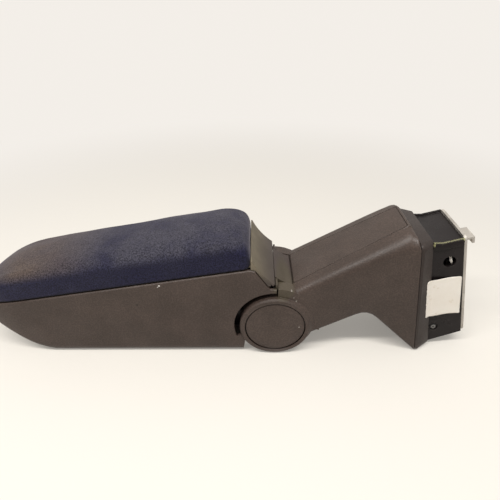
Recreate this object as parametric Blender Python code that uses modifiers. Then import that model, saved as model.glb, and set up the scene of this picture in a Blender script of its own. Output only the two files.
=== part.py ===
"""Folding car armrest with a padded storage lid, shown folded up in line with its neck.

Metres, +Z up, +X from the arm's nose to the floor plate, +Y to the far side. The arm
lies on its flat floor, so Z = 0 is the surface that it rests on. Every outline below is
given in the pivot frame: X and Z from the axis of the pivot shaft.
"""

import math

import bmesh
import bpy
from mathutils import Matrix, Vector

# Fits and walls
GAP = 0.0003
SEAM = 0.0005
RUNNING = 0.0001
PAST = 0.0100
BREAK = 0.0001
WALL = 0.0030
SHEET = 0.0025

# Arm: the storage tub and its lid
ARM_HALF_WIDTH = 0.0405
ARM_FLOOR_DEPTH = 0.0360
ARM_NOSE_X = -0.3050
ARM_NOSE_LENGTH = 0.0600
ARM_NOSE_POWER = 3.0
NOSE_ANGLES = (88, 80, 70, 60, 50, 40, 30, 20, 10, 5, 2)
ARM_CHIN_LENGTH = 0.0770
ARM_CHIN_POWER = 2.4
ARM_CHIN_SHARE = 0.68
CHIN_STATIONS = (0.8442, 0.9351, 1.0260)
ARM_EDGE_RADIUS = 0.0090
PARTING_HEIGHT = 0.0720
PARTING_SLOPE = 0.1590
RIM_BEVEL = 0.0009
REAR_CORNER_X = -0.0240
REAR_SLANT_TOP = (-0.0198, 0.0670)
REAR_SLANT_FOOT = (-0.0058, 0.0464)
REAR_TIP_X = 0.0008
REAR_TIP_HEIGHT = 0.0452
MAT_THICKNESS = 0.0015
MAT_MARGIN = 0.0030

# Lid: tray, rear cover, board and pad
TRAY_THICKNESS = 0.0020
TRAY_INSET = 0.0045
PAD_INSET = 0.0013
PAD_HEIGHT = 0.0362
PAD_NOSE_DROP = 0.0067
PAD_CROWN = 0.0023
PAD_SHOULDER = 0.0116
PAD_NOSE_RADIUS = 0.0600
PAD_NOSE_FACE = 0.1150
PAD_END_RADIUS = 0.0340
PAD_END_FACE = 0.4700
PAD_HEM = 0.0015
PAD_CORNER = 0.0070
PAD_REAR_X = -0.0242
BOARD_INSET = 0.0080
BOARD_THICKNESS = 0.0030
TRAY_SCREW_XS = (-0.2400, -0.0700)
TRAY_SCREW_Y = 0.0220
COVER_TOP = (-0.0226, 0.0785)
COVER_LIP = (-0.0010, 0.0519)
COVER_SAG = 0.0021
COVER_THICKNESS = 0.0024
COVER_HALF_WIDTH = 0.0399
LIP_FOOT = (-0.0026, 0.0497)
LIP_TAPER_X = -0.0040
FLANGE_FOOT = (-0.0050, 0.0496)
FLANGE_SHARE = 0.85
LID_AXIS = (-0.0066, 0.0507)
LID_PIN_RADIUS = 0.0015
KNUCKLE_RADIUS = 0.0026
KNUCKLE_INNER = 0.0080
KNUCKLE_OUTER = 0.0200
EAR_OUTER = 0.0370
LID_PIN_HALF_LENGTH = 0.0300

# Pivot: shaft, drum, cheeks and caps
SHAFT_RADIUS = 0.0070
SHAFT_HALF_LENGTH = 0.0345
DRUM_RADIUS = 0.0450
DRUM_HALF_WIDTH = 0.0262
DRUM_WALL = 0.0025
DRUM_LOW_ANGLE = -30.0
DRUM_BLEND_ANGLE = 75.0
DRUM_BLEND_REACH = 0.0024
DRUM_HUB_RADIUS = 0.0110
DRUM_RUNNING_GAP = 0.0013
DRUM_SIDE_GAP = 0.0005
LIP_REST_DROP = 0.0026
CHEEK_RADIUS = 0.0456
CHEEK_HALF_WIDTH = 0.0395
CHEEK_START_X = 0.0024
CHEEK_END_ANGLE = -8.5
RING_RADIUS = 0.0357
RING_HALF_WIDTH = 0.0435
RING_EDGE = 0.0016
RING_BLEND = 0.0040
RING_BLEND_ANGLE = 15.0
RING_RUNOUT = ((-0.0040, 0.0), (-0.0026, 1.0), (0.0004, 1.0), (0.0010, 0.45), (0.0018, 0.12))
HUB_CAVITY_RADIUS = 0.0330
HUB_CAVITY_HALF_WIDTH = 0.0355
TUB_CUTOUT_RADIUS = 0.0415
TUB_CUTOUT_END = 200.0
TUB_HUG_END = 212.0
TUB_FOOT_X = -0.0340
TUB_BACK_RADIUS = 0.0470
CAP_RADIUS = 0.0296
CAP_RECESS_RADIUS = 0.0306
CAP_THICKNESS = 0.0032
CAP_DOME = 0.0006
CAP_SEAT = 0.0003
LUG_RADIUS = 0.0140
LUG_FACE = 0.0234
BACK_PLATE_HALF_HEIGHT = 0.0140
BOLT_HALF_SPACING = 0.0160
BOLT_HALF_RISE = 0.0080
BOLT_BOSS_RADIUS = 0.0050
BOLT_BOSS = 0.0050
ARM_BOLT_LENGTH = 0.0100
BUSH_RADIUS = 0.0090
BUSH_FLANGE_RADIUS = 0.0115
BUSH_FLANGE = 0.0009
WASHER_THICKNESS = 0.0005
WASHER_RADIUS = 0.0130
CIRCLIP_THICKNESS = 0.0010
CIRCLIP_RADIUS = 0.0098
WAVE_WASHER_THICKNESS = 0.0011
SPRING_WIRE = 0.0024
SPRING_TURNS = 6
SPRING_CLEARANCE = 0.0006
SPRING_HALF_LENGTH = 0.0150

# Neck: moulded housing, rear panel and collar
NECK_HALF_WIDTH = 0.0395
NECK_END_HALF_WIDTH = 0.0408
NECK_WALL = 0.0028
NECK_TOP_WALL = 0.0056
NECK_FOOT_START = (0.0200, -0.0218)
NECK_KNEE = (0.0916, 0.0174)
NECK_FOOT_CORNER = 0.0050
NECK_CREST_REACH = 0.0050
NECK_SHOULDER_START = 0.0335
NECK_SHOULDER_END = 0.0205
NECK_MARGIN_FALL = 0.0010
PANEL_START = (0.0183, 0.0432)
PANEL_END = (0.1206, 0.1035)
PANEL_START_HALF_WIDTH = 0.0255
PANEL_END_HALF_WIDTH = 0.0192
PANEL_THICKNESS = 0.0025
PANEL_CORNER = 0.0020
PANEL_LEDGE = 0.0030
COLLAR_BAND = 0.0025
COLLAR_FRONT_TOP = (0.1287, 0.0939)
COLLAR_FRONT_FOOT = (0.1470, -0.0360)
COLLAR_REAR_TOP = (0.1420, 0.0935)
COLLAR_REAR_FOOT = (0.1635, -0.0335)
COLLAR_REAR_HALF_WIDTH = 0.0326
COLLAR_CORNER = 0.0080

# Steel bracket and floor plate
FRAME_HALF_WIDTH = 0.0297
FRAME_TOP_LEFT = (0.1350, 0.0880)
FRAME_TOP_BEND = (0.1520, 0.0885)
FRAME_TOP_RIGHT = (0.1708, 0.0935)
FRAME_FOOT_RIGHT = (0.1960, -0.0180)
FRAME_FOOT_LEFT = (0.1625, -0.0320)
FRAME_EYE_RADIUS = 0.0170
FRAME_LOWER_LINE = [
    (0.0240, -0.0130), (0.0500, 0.0010), (0.0840, 0.0185), (0.0970, 0.0180), (0.1410, -0.0260),
    (0.1500, -0.0320),
]
FRAME_UPPER_LINE = [(0.1290, 0.0865), (0.1180, 0.0800), (0.0260, 0.0300)]
RIM_START_X = 0.1445
RIM_DEPTH = 0.0048
RIM_OUT = 0.0012
RIM_RISE = 0.0020
FLANGE_WIDTH = 0.0140
CAR_HOLE_CENTRE = (0.1632, 0.0699)
CAR_HOLE_RADIUS = 0.0060
SIDE_SCREW_CENTRE = (0.1660, -0.0117)
SIDE_SCREW_RECESS = 0.0046
SIDE_SCREW_SINK = 0.0015
SIDE_SCREW_HOLE = 0.0028
PLATE_THICKNESS = 0.0025
PLATE_OVERLAP = 0.0030
PLATE_CORNER = 0.0050
PLATE_HOLE_RADIUS = 0.0042
PLATE_HOLE_INSET = 0.0420
TAB_REACH = 0.0075
TAB_DROP = 0.0065
TAB_SHEET = 0.0022
TAB_NEAR_Y = -0.0270
TAB_FAR_Y = -0.0090
LABEL_CENTRE = (0.1700, 0.0272)
LABEL_WIDTH = 0.0255
LABEL_HEIGHT = 0.0460
LABEL_THICKNESS = 0.0004

# Small fasteners and the latch
SCREW_HEAD_RADIUS = 0.0035
SCREW_HEAD_HEIGHT = 0.0020
SCREW_SHANK_RADIUS = 0.0018
RIVET_HEAD_RADIUS = 0.0040
RIVET_HEAD_HEIGHT = 0.0014
RIVET_RADIUS = 0.0022
RIVET_INSET = 0.0160
BUTTON_HALF_WIDTH = 0.0120
BUTTON_HEIGHT = 0.0080
BUTTON_PROUD = 0.0035
BUTTON_DROP = 0.0103
BUTTON_PLAY = 0.0032
BUTTON_RIM = 0.0012
STEM_HALF_WIDTH = 0.0040
STEM_HALF_HEIGHT = 0.0025
HOOK_LENGTH = 0.0045
HOOK_RISE = 0.0045
STRIKER_X = -0.2925
STRIKER_NOSE = 0.0035
STRIKER_DROP = 0.0083
STRIKER_BARB = 0.0015
STRIKER_WEB = 0.0020
LATCH_WALL_X = -0.2720
LATCH_WALL = 0.0025
LATCH_WALL_DROP = 0.0037
LATCH_WIRE = 0.0006
LATCH_COIL_RADIUS = 0.0030
BUFFER_RADIUS = 0.0011
BUFFER_Y = 0.0280

CHIN_XS = tuple(ARM_NOSE_X + ARM_CHIN_LENGTH * share for share in CHIN_STATIONS)
PLATE_REACH = FRAME_FOOT_RIGHT[0] + PLATE_THICKNESS + SEAM
PIVOT = Vector((-(ARM_NOSE_X + PLATE_REACH) / 2.0, 0.0, ARM_FLOOR_DEPTH))


# Scene and materials
def clear_scene():
    for old in list(bpy.data.objects):
        bpy.data.objects.remove(old, do_unlink=True)


def collection(name):
    made = bpy.data.collections.new(name)
    bpy.context.scene.collection.children.link(made)
    return made


def material(name, colour, roughness, metallic=0.0):
    made = bpy.data.materials.new(name)
    made.use_nodes = True
    shader = made.node_tree.nodes["Principled BSDF"]
    shader.inputs["Base Color"].default_value = (*colour, 1.0)
    shader.inputs["Roughness"].default_value = roughness
    shader.inputs["Metallic"].default_value = metallic
    made.diffuse_color = (*colour, 1.0)
    return made


clear_scene()
PARTS = collection("car_armrest")
CUTTERS = collection("cutters")
PIVOT_POINT = bpy.data.objects.new("pivot_point", None)
PIVOT_POINT.location = PIVOT
PARTS.objects.link(PIVOT_POINT)

CLOTH = material("black_navy_cloth", (0.020, 0.023, 0.040), 0.95)
GRAINED = material("grained_plastic", (0.045, 0.040, 0.038), 0.60)
OLIVE = material("olive_plastic", (0.070, 0.066, 0.052), 0.55)
INNER = material("inner_plastic", (0.030, 0.030, 0.030), 0.65)
NYLON = material("white_nylon", (0.600, 0.580, 0.520), 0.45)
RUBBER = material("black_rubber", (0.020, 0.020, 0.020), 0.85)
STEEL = material("bright_steel", (0.520, 0.520, 0.520), 0.30, 1.0)
BLACK_STEEL = material("black_enamelled_steel", (0.030, 0.028, 0.027), 0.25)
ZINC = material("galvanised_steel", (0.620, 0.600, 0.560), 0.40, 1.0)
PAPER = material("label_paper", (0.800, 0.780, 0.720), 0.70)


# Outline helpers, all in the X-Z plane of the pivot frame
def polar(radius, degrees, centre=(0.0, 0.0)):
    angle = math.radians(degrees)
    return (centre[0] + radius * math.cos(angle), centre[1] + radius * math.sin(angle))


def arc(radius, start, end, steps, centre=(0.0, 0.0)):
    return [polar(radius, start + (end - start) * i / steps, centre) for i in range(steps + 1)]


def sagged_arc(start, end, sag, steps):
    """Points of the circular arc from start to end that bows by sag to its right."""
    start, end = Vector(start), Vector(end)
    chord = end - start
    side = Vector((chord.y, -chord.x)).normalized()
    radius = (chord.length ** 2 / 4.0 + sag ** 2) / (2.0 * abs(sag))
    centre = (start + end) / 2.0 + side * (sag - math.copysign(radius, sag))
    first = math.atan2(*(start - centre).yx)
    last = math.atan2(*(end - centre).yx)
    turn = (last - first + math.pi) % (2.0 * math.pi) - math.pi
    angles = [first + turn * i / steps for i in range(steps + 1)]
    return [tuple(centre + radius * Vector((math.cos(a), math.sin(a)))) for a in angles]


def bezier(start, control, end, steps):
    start, control, end = Vector(start), Vector(control), Vector(end)
    points = []
    for i in range(steps + 1):
        t = i / steps
        points.append(tuple(start * (1 - t) ** 2 + control * 2 * t * (1 - t) + end * t ** 2))
    return points


def offset_line(points, distance):
    """The open outline moved sideways, to its left as it runs, by distance."""
    moved = []
    for i, point in enumerate(points):
        before = Vector(points[max(i - 1, 0)])
        after = Vector(points[min(i + 1, len(points) - 1)])
        along = (after - before).normalized()
        moved.append((point[0] - along.y * distance, point[1] + along.x * distance))
    return moved


def rounded(corners, radius, steps=3):
    """A closed outline with each corner rounded by an arc of the radius."""
    outline = []
    count = len(corners)
    for i in range(count):
        corner = Vector(corners[i])
        back = (Vector(corners[i - 1]) - corner).normalized()
        on = (Vector(corners[(i + 1) % count]) - corner).normalized()
        half = back.angle(on) / 2.0
        reach = radius / math.tan(half)
        outline += bezier(corner + back * reach, corner, corner + on * reach, steps)
    return outline


def parting_z(x):
    return PARTING_HEIGHT + PARTING_SLOPE * x


# Mesh helpers
def add_object(name, mesh, look, home=PARTS):
    made = bpy.data.objects.new(name, mesh)
    home.objects.link(made)
    made.parent = PIVOT_POINT
    if look:
        mesh.materials.clear()
        mesh.materials.append(look)
    return made


def loft(name, rings, look, home=PARTS):
    """A closed skin through rings of the same number of points, with flat ends."""
    bm = bmesh.new()
    loops = [[bm.verts.new(point) for point in ring] for ring in rings]
    count = len(loops[0])
    for low, high in zip(loops, loops[1:]):
        for i in range(count):
            j = (i + 1) % count
            bm.faces.new((low[i], low[j], high[j], high[i]))
    bm.faces.new(list(reversed(loops[0])))
    bm.faces.new(loops[-1])
    bmesh.ops.recalc_face_normals(bm, faces=bm.faces)
    mesh = bpy.data.meshes.new(name)
    bm.to_mesh(mesh)
    bm.free()
    mesh.shade_smooth()
    mesh.set_sharp_from_angle(angle=math.radians(35))
    return add_object(name, mesh, look, home)


def curve_mesh(name, curve, matrix):
    """The mesh of a curve, with its caps welded on, moved by the matrix."""
    drawn = bpy.data.objects.new(name + "_curve", curve)
    CUTTERS.objects.link(drawn)
    bpy.context.view_layer.update()
    evaluated = drawn.evaluated_get(bpy.context.evaluated_depsgraph_get())
    mesh = bpy.data.meshes.new_from_object(evaluated)
    bpy.data.objects.remove(drawn, do_unlink=True)
    bm = bmesh.new()
    bm.from_mesh(mesh)
    bmesh.ops.remove_doubles(bm, verts=bm.verts, dist=0.00001)
    bmesh.ops.transform(bm, matrix=matrix, verts=bm.verts)
    bmesh.ops.recalc_face_normals(bm, faces=bm.faces)
    bm.to_mesh(mesh)
    bm.free()
    mesh.name = name
    return mesh


def drawn_plate(name, outline, low, high, matrix, look, home=PARTS):
    """A closed outline as a 2D curve, extruded along local Z from low to high."""
    curve = bpy.data.curves.new(name, "CURVE")
    curve.dimensions = "2D"
    curve.fill_mode = "BOTH"
    curve.extrude = (high - low) / 2.0
    spline = curve.splines.new("POLY")
    spline.points.add(len(outline) - 1)
    for point, (x, y) in zip(spline.points, outline):
        point.co = (x, y, 0.0, 1.0)
    spline.use_cyclic_u = True
    lift = Matrix.Translation((0.0, 0.0, (low + high) / 2.0))
    return add_object(name, curve_mesh(name, curve, matrix @ lift), look, home)


def across(name, outline, low_y, high_y, look, home=PARTS):
    """A closed X-Z outline extruded along Y from low_y to high_y."""
    upright = Matrix.Rotation(math.radians(90), 4, "X")
    return drawn_plate(name, outline, -high_y, -low_y, upright, look, home)


def wire(name, points, radius, look, home=PARTS, sides=2):
    curve = bpy.data.curves.new(name, "CURVE")
    curve.dimensions = "3D"
    curve.bevel_depth = radius
    curve.bevel_resolution = sides
    curve.use_fill_caps = True
    spline = curve.splines.new("POLY")
    spline.points.add(len(points) - 1)
    for point, place in zip(spline.points, points):
        point.co = (*place, 1.0)
    return add_object(name, curve_mesh(name, curve, Matrix.Identity(4)), look, home)


def turned(name, profile, look, home=PARTS, steps=32):
    """A profile of (radius, y) points, from high y to low y, turned about the Y axis.

    A profile that ends where it began is a closed section, as of a tube.
    """
    bm = bmesh.new()
    closed = profile[0] == profile[-1]
    chain = [bm.verts.new((radius, 0.0, y)) for radius, y in profile[:len(profile) - closed]]
    for first, second in zip(chain, chain[1:]):
        bm.edges.new((first, second))
    if closed:
        bm.edges.new((chain[-1], chain[0]))
    mesh = bpy.data.meshes.new(name)
    bm.to_mesh(mesh)
    bm.free()
    made = add_object(name, mesh, look, home)
    made.rotation_euler = (math.radians(-90), 0.0, 0.0)
    screw = made.modifiers.new("turn", "SCREW")
    screw.steps = steps
    screw.render_steps = steps
    screw.use_merge_vertices = True
    screw.merge_threshold = 0.00001
    return made


def tube_wall(name, outer, inner, low_y, high_y, look, home=PARTS, steps=32):
    closed = [(outer, high_y), (outer, low_y), (inner, low_y), (inner, high_y), (outer, high_y)]
    return turned(name, closed, look, home, steps)


def cylinder(name, radius, low_y, high_y, centre=(0.0, 0.0), steps=32, look=None, home=CUTTERS):
    """A plain cylinder along Y."""
    bm = bmesh.new()
    bmesh.ops.create_cone(
        bm, cap_ends=True, segments=steps, radius1=radius, radius2=radius, depth=high_y - low_y
    )
    turn = Matrix.Rotation(math.radians(90), 4, "X")
    place = Matrix.Translation((centre[0], (low_y + high_y) / 2.0, centre[1]))
    bmesh.ops.transform(bm, matrix=place @ turn, verts=bm.verts)
    mesh = bpy.data.meshes.new(name)
    bm.to_mesh(mesh)
    bm.free()
    return add_object(name, mesh, look, home)


def block(name, low, high, look=None, home=CUTTERS):
    bm = bmesh.new()
    bmesh.ops.create_cube(bm, size=1.0)
    low, high = Vector(low), Vector(high)
    bmesh.ops.scale(bm, vec=high - low, verts=bm.verts)
    bmesh.ops.translate(bm, vec=(low + high) / 2.0, verts=bm.verts)
    mesh = bpy.data.meshes.new(name)
    bm.to_mesh(mesh)
    bm.free()
    return add_object(name, mesh, look, home)


def combine(target, other, operation):
    """Adds a Boolean of the other object, which stays as a hidden cutter."""
    if other.name not in CUTTERS.objects:
        CUTTERS.objects.link(other)
        PARTS.objects.unlink(other)
    other.hide_render = True
    other.display_type = "WIRE"
    step = target.modifiers.new(other.name, "BOOLEAN")
    step.operation = operation
    step.solver = "EXACT"
    step.object = other


def cut(target, *others):
    for other in others:
        combine(target, other, "DIFFERENCE")


def join(target, *others):
    for other in others:
        combine(target, other, "UNION")


def screw(name, place, direction, length, look=STEEL, head=SCREW_HEAD_RADIUS, shank=SCREW_SHANK_RADIUS,
          head_height=SCREW_HEAD_HEIGHT):
    """A pan-head screw whose head seats at place and whose shank runs along direction."""
    profile = [
        (0.0, head_height), (head * 0.7, head_height), (head, head_height * 0.45), (head, 0.0),
        (shank, 0.0), (shank, -length + shank), (0.0, -length),
    ]
    bm = bmesh.new()
    chain = [bm.verts.new((radius, 0.0, z)) for radius, z in profile]
    for first, second in zip(chain, chain[1:]):
        bm.edges.new((first, second))
    mesh = bpy.data.meshes.new(name)
    bm.to_mesh(mesh)
    bm.free()
    made = add_object(name, mesh, look)
    made.location = place
    made.rotation_euler = Vector(direction).to_track_quat("-Z", "Y").to_euler()
    turn = made.modifiers.new("turn", "SCREW")
    turn.steps = 12
    turn.render_steps = 12
    turn.use_merge_vertices = True
    turn.merge_threshold = 0.00001
    return made


# Arm outlines
def nose_station(degrees, inset):
    """X and half width of the rounded nose, as a superellipse, at an angle of 0 to 90."""
    power = 2.0 / ARM_NOSE_POWER
    forward = math.sin(math.radians(degrees)) ** power
    sideways = math.cos(math.radians(degrees)) ** power
    start = ARM_NOSE_X + ARM_NOSE_LENGTH
    return start - (ARM_NOSE_LENGTH - inset) * forward, (ARM_HALF_WIDTH - inset) * sideways


def nose_half_width(x):
    forward = (ARM_NOSE_X + ARM_NOSE_LENGTH - x) / ARM_NOSE_LENGTH
    return ARM_HALF_WIDTH * (1.0 - forward ** ARM_NOSE_POWER) ** (1.0 / ARM_NOSE_POWER)


def chin_z(x):
    """Height of the tub's underside: flat, then rising towards the nose."""
    share = min(max((ARM_NOSE_X + ARM_CHIN_LENGTH - x) / ARM_CHIN_LENGTH, 0.0), 1.0)
    rise = math.sin(math.pi / 2.0 * share) ** ARM_CHIN_POWER
    full = parting_z(ARM_NOSE_X) + ARM_FLOOR_DEPTH
    return -ARM_FLOOR_DEPTH + rise * full * ARM_CHIN_SHARE


def tub_top_z(x):
    """Top of the tub's side walls: the parting line, then the slanted rear edge."""
    knots = [
        (REAR_CORNER_X, parting_z(REAR_CORNER_X)), REAR_SLANT_TOP, REAR_SLANT_FOOT,
        (REAR_TIP_X, REAR_TIP_HEIGHT),
    ]
    if x <= knots[0][0]:
        return parting_z(x)
    for (x0, z0), (x1, z1) in zip(knots, knots[1:]):
        if x <= x1:
            return z0 + (z1 - z0) * (x - x0) / (x1 - x0)
    return knots[-1][1]


def nose_rows(inset):
    return [nose_station(degrees, inset) for degrees in NOSE_ANGLES]


def trough_ring(x, half_width, low, high, corner, bevel):
    """A U section at x, from its top centre down one side and up the other."""
    corner = min(corner, half_width * 0.8, (high - low) * 0.4)
    bevel = min(bevel, half_width * 0.2)
    side = [(0.0, high), (half_width - bevel, high), (half_width, high - bevel)]
    side += [(half_width - corner + y, low + corner + z) for y, z in arc(corner, 0, -90, 4)]
    side.append((0.0, low))
    mirrored = [(-y, z) for y, z in reversed(side[1:-1])]
    return [(x, y, z) for y, z in side + mirrored]


def slab_ring(x, half_width, low, high):
    return [(x, -half_width, low), (x, half_width, low), (x, half_width, high), (x, -half_width, high)]


# Tub and what it carries
def bolt_places():
    reach = (TUB_BACK_RADIUS - GAP) ** 2 - BACK_PLATE_HALF_HEIGHT ** 2
    face = SHEET - math.sqrt(reach)
    return [
        Vector((face + GAP, side * BOLT_HALF_SPACING, up * BOLT_HALF_RISE))
        for side in (-1, 1) for up in (-1, 1)
    ]


def button_centre_z():
    return parting_z(ARM_NOSE_X) - BUTTON_DROP


def striker_foot():
    return parting_z(STRIKER_X) - STRIKER_DROP


def latch_wall_top():
    return parting_z(LATCH_WALL_X) - LATCH_WALL_DROP


def side_cutout():
    """Room for the neck's ring: a wide crescent above, a close fit at its foot."""
    high = arc(TUB_CUTOUT_RADIUS, 55, TUB_CUTOUT_END, 30)
    close = arc(RING_RADIUS + SEAM, TUB_CUTOUT_END, TUB_HUG_END, 4)
    foot = -ARM_FLOOR_DEPTH - PAST
    return high + close + [(TUB_FOOT_X, foot), (high[0][0], foot)]


def arm_tub():
    straight = (*CHIN_XS, REAR_CORNER_X, REAR_SLANT_TOP[0], REAR_SLANT_FOOT[0])

    def shell_ring(x, half):
        return trough_ring(x, half, chin_z(x), tub_top_z(x), ARM_EDGE_RADIUS, RIM_BEVEL)

    def bin_ring(x, half):
        low = chin_z(x - WALL * 0.7) + WALL
        return trough_ring(x, half, low, parting_z(x) + 3 * PAST, ARM_EDGE_RADIUS - WALL, BREAK)

    rows = nose_rows(0.0) + [(x, ARM_HALF_WIDTH) for x in (*straight, REAR_TIP_X)]
    tub = loft("arm_tub", [shell_ring(x, half) for x, half in rows], GRAINED)
    inside = ARM_HALF_WIDTH - WALL
    rows = nose_rows(WALL) + [(x, inside) for x in (*CHIN_XS, REAR_CORNER_X, REAR_TIP_X + PAST)]
    storage = loft("bin_cutter", [bin_ring(x, half) for x, half in rows], None, CUTTERS)
    past = ARM_HALF_WIDTH + PAST
    cut(storage, cylinder("back_wall_keep", TUB_BACK_RADIUS + WALL, -past, past, steps=64))
    cut(
        tub,
        storage,
        cylinder("back_cutter", TUB_BACK_RADIUS, -inside, inside, steps=64),
        across("side_cutter", side_cutout(), -past, past, None, CUTTERS),
    )
    room = KNUCKLE_OUTER + SEAM
    cut(tub, cylinder("knuckle_room", KNUCKLE_RADIUS + SEAM, -room, room, LID_AXIS, 16))
    for side, tag in ((-1, "near"), (1, "far")):
        low_y, high_y = sorted((side * room, side * EAR_OUTER))
        join(tub, cylinder("ear_" + tag, KNUCKLE_RADIUS, low_y, high_y, LID_AXIS, 16))
    deep = LID_PIN_HALF_LENGTH + GAP
    cut(tub, cylinder("ear_bore", LID_PIN_RADIUS + RUNNING, -deep, deep, LID_AXIS, 16))
    wall = [
        trough_ring(x, nose_half_width(x) - WALL / 2, chin_z(x) + WALL / 2, latch_wall_top(),
                    ARM_EDGE_RADIUS - WALL / 2, BREAK)
        for x in (LATCH_WALL_X, LATCH_WALL_X + LATCH_WALL)
    ]
    join(tub, loft("latch_wall", wall, None, CUTTERS))
    for number, place in enumerate(bolt_places(), 1):
        boss_start = -TUB_BACK_RADIUS - WALL / 2.0
        boss_end = boss_start - BOLT_BOSS
        join(tub, along_x("bolt_boss_%d" % number, BOLT_BOSS_RADIUS, boss_end, boss_start, place))
        hole = along_x("bolt_hole_%d" % number, SCREW_SHANK_RADIUS + RUNNING,
                       boss_end - WALL, BOLT_BOSS - TUB_BACK_RADIUS, place)
        cut(tub, hole)
    middle = button_centre_z()
    edge = BUTTON_HEIGHT / 2.0 + SEAM
    cut(tub, block("button_window", (ARM_NOSE_X - PAST, -BUTTON_HALF_WIDTH - SEAM, middle - edge),
                   (ARM_NOSE_X + WALL + 0.004, BUTTON_HALF_WIDTH + SEAM, middle + edge)))
    return tub


def along_x(name, radius, low_x, high_x, place, look=None, home=CUTTERS, steps=12):
    """A cylinder along X through the Y and Z of place."""
    made = cylinder(name, radius, low_x, high_x, steps=steps, look=look, home=home)
    for vertex in made.data.vertices:
        x, y, z = vertex.co
        vertex.co = (y, place[1] - x, place[2] + z)
    return made


def bin_mat():
    """The thin rubber mat that lies on the storage floor."""
    low = -ARM_FLOOR_DEPTH + WALL + GAP
    start, end = ARM_NOSE_X + ARM_CHIN_LENGTH, -TUB_BACK_RADIUS - WALL - MAT_MARGIN - BOLT_BOSS
    half = ARM_HALF_WIDTH - ARM_EDGE_RADIUS
    corners = [(start, -half), (end, -half), (end, half), (start, half)]
    outline = rounded(corners, MAT_MARGIN)
    return drawn_plate("bin_mat", outline, low, low + MAT_THICKNESS, Matrix.Identity(4), RUBBER)


def arm_bracket():
    """Steel fork that carries the arm on the shaft: two lugs and a back plate."""
    reach = (TUB_BACK_RADIUS - GAP) ** 2 - BACK_PLATE_HALF_HEIGHT ** 2
    back = -math.sqrt(reach)
    half = BACK_PLATE_HALF_HEIGHT
    side_outline = arc(LUG_RADIUS, 110, -110, 16) + [(back, -half), (back, half)]
    bracket = across("arm_bracket", side_outline, LUG_FACE - SHEET, LUG_FACE, BLACK_STEEL)
    other = across("far_lug", side_outline, -LUG_FACE, SHEET - LUG_FACE, None, CUTTERS)
    plate = block("back_plate", (back, -LUG_FACE, -half), (back + SHEET, LUG_FACE, half))
    join(bracket, other, plate)
    past = LUG_FACE + PAST
    cut(bracket, cylinder("bush_bore", BUSH_RADIUS + RUNNING, -past, past, steps=24))
    for number, place in enumerate(bolt_places(), 1):
        hole = along_x("plate_hole_%d" % number, SCREW_SHANK_RADIUS + RUNNING,
                       back - SHEET, back + SHEET * 2, place)
        cut(bracket, hole)
    return bracket


def arm_bushes():
    """Flanged nylon sleeves in the lugs, flanges inwards."""
    inner = SHAFT_RADIUS + RUNNING
    for side, tag in ((-1, "near"), (1, "far")):
        lug_inner = LUG_FACE - SHEET
        sleeve = [
            (inner, LUG_FACE), (BUSH_RADIUS, LUG_FACE), (BUSH_RADIUS, lug_inner - GAP),
            (BUSH_FLANGE_RADIUS, lug_inner - GAP), (BUSH_FLANGE_RADIUS, lug_inner - GAP - BUSH_FLANGE),
            (inner, lug_inner - GAP - BUSH_FLANGE), (inner, LUG_FACE),
        ]
        if side < 0:
            sleeve = [(radius, -y) for radius, y in reversed(sleeve)]
        turned("arm_bush_" + tag, sleeve, NYLON, steps=24)


def clutch_spring():
    """Wrapped coil on the shaft that lets the arm rise freely and holds it as it lowers."""
    mean = SHAFT_RADIUS + SPRING_CLEARANCE + SPRING_WIRE / 2.0
    per_turn = 10
    count = SPRING_TURNS * per_turn
    points = []
    for i in range(count + 1):
        angle = math.radians(90.0) - 2.0 * math.pi * i / per_turn
        y = -SPRING_HALF_LENGTH + 2.0 * SPRING_HALF_LENGTH * i / count
        points.append((mean * math.cos(angle), y, mean * math.sin(angle)))
    leg_x = bolt_places()[0].x + SCREW_HEAD_HEIGHT + SPRING_WIRE
    points.insert(0, (leg_x, -SPRING_HALF_LENGTH, mean))
    return wire("clutch_spring", points, SPRING_WIRE / 2.0, STEEL)


def drum_cover():
    """Moulding that rounds off the arm's end between the cheeks, flush with the lid's lip."""
    lip = (COVER_LIP[0] + SEAM, COVER_LIP[1] - SEAM)
    touch = polar(DRUM_RADIUS, DRUM_BLEND_ANGLE)
    rise = DRUM_BLEND_REACH / math.tan(math.radians(DRUM_BLEND_ANGLE))
    control = (touch[0] - DRUM_BLEND_REACH, touch[1] + rise)
    outer = bezier(lip, control, touch, 6)[:-1] + arc(DRUM_RADIUS, DRUM_BLEND_ANGLE, DRUM_LOW_ANGLE, 16)
    inner = arc(DRUM_RADIUS - DRUM_WALL, DRUM_LOW_ANGLE, 90, 16)
    foot = (lip[0], inner[-1][1])
    cover = across("drum_cover", outer + inner[:-1] + [foot], -DRUM_HALF_WIDTH, DRUM_HALF_WIDTH, GRAINED)
    rest_low, rest_high = COVER_LIP[0] + SEAM + GAP, CHEEK_START_X - SEAM
    rest_top = COVER_LIP[1] - LIP_REST_DROP
    rest_foot = DRUM_RADIUS - DRUM_WALL + SEAM
    rest = [(rest_low, rest_foot), (rest_high, rest_foot), (rest_high, rest_top), (rest_low, rest_top)]
    rest_reach = ARM_HALF_WIDTH - WALL - SEAM
    join(cover, across("lip_rest", rest, -rest_reach, rest_reach, None, CUTTERS))
    web_face = LUG_FACE + GAP
    sector = arc(DRUM_RADIUS - DRUM_WALL / 2.0, 89, DRUM_LOW_ANGLE + 1, 14)
    hub = arc(DRUM_HUB_RADIUS, DRUM_LOW_ANGLE - 60, 150 - 360, 12)
    for side, tag in ((-1, "near"), (1, "far")):
        low_y, high_y = sorted((side * web_face, side * DRUM_HALF_WIDTH))
        join(cover, across("web_" + tag, sector + hub, low_y, high_y, None, CUTTERS))
    past = DRUM_HALF_WIDTH + PAST
    cut(cover, cylinder("cover_bore", SHAFT_RADIUS + RUNNING * 2, -past, past, steps=24))
    return cover


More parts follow.
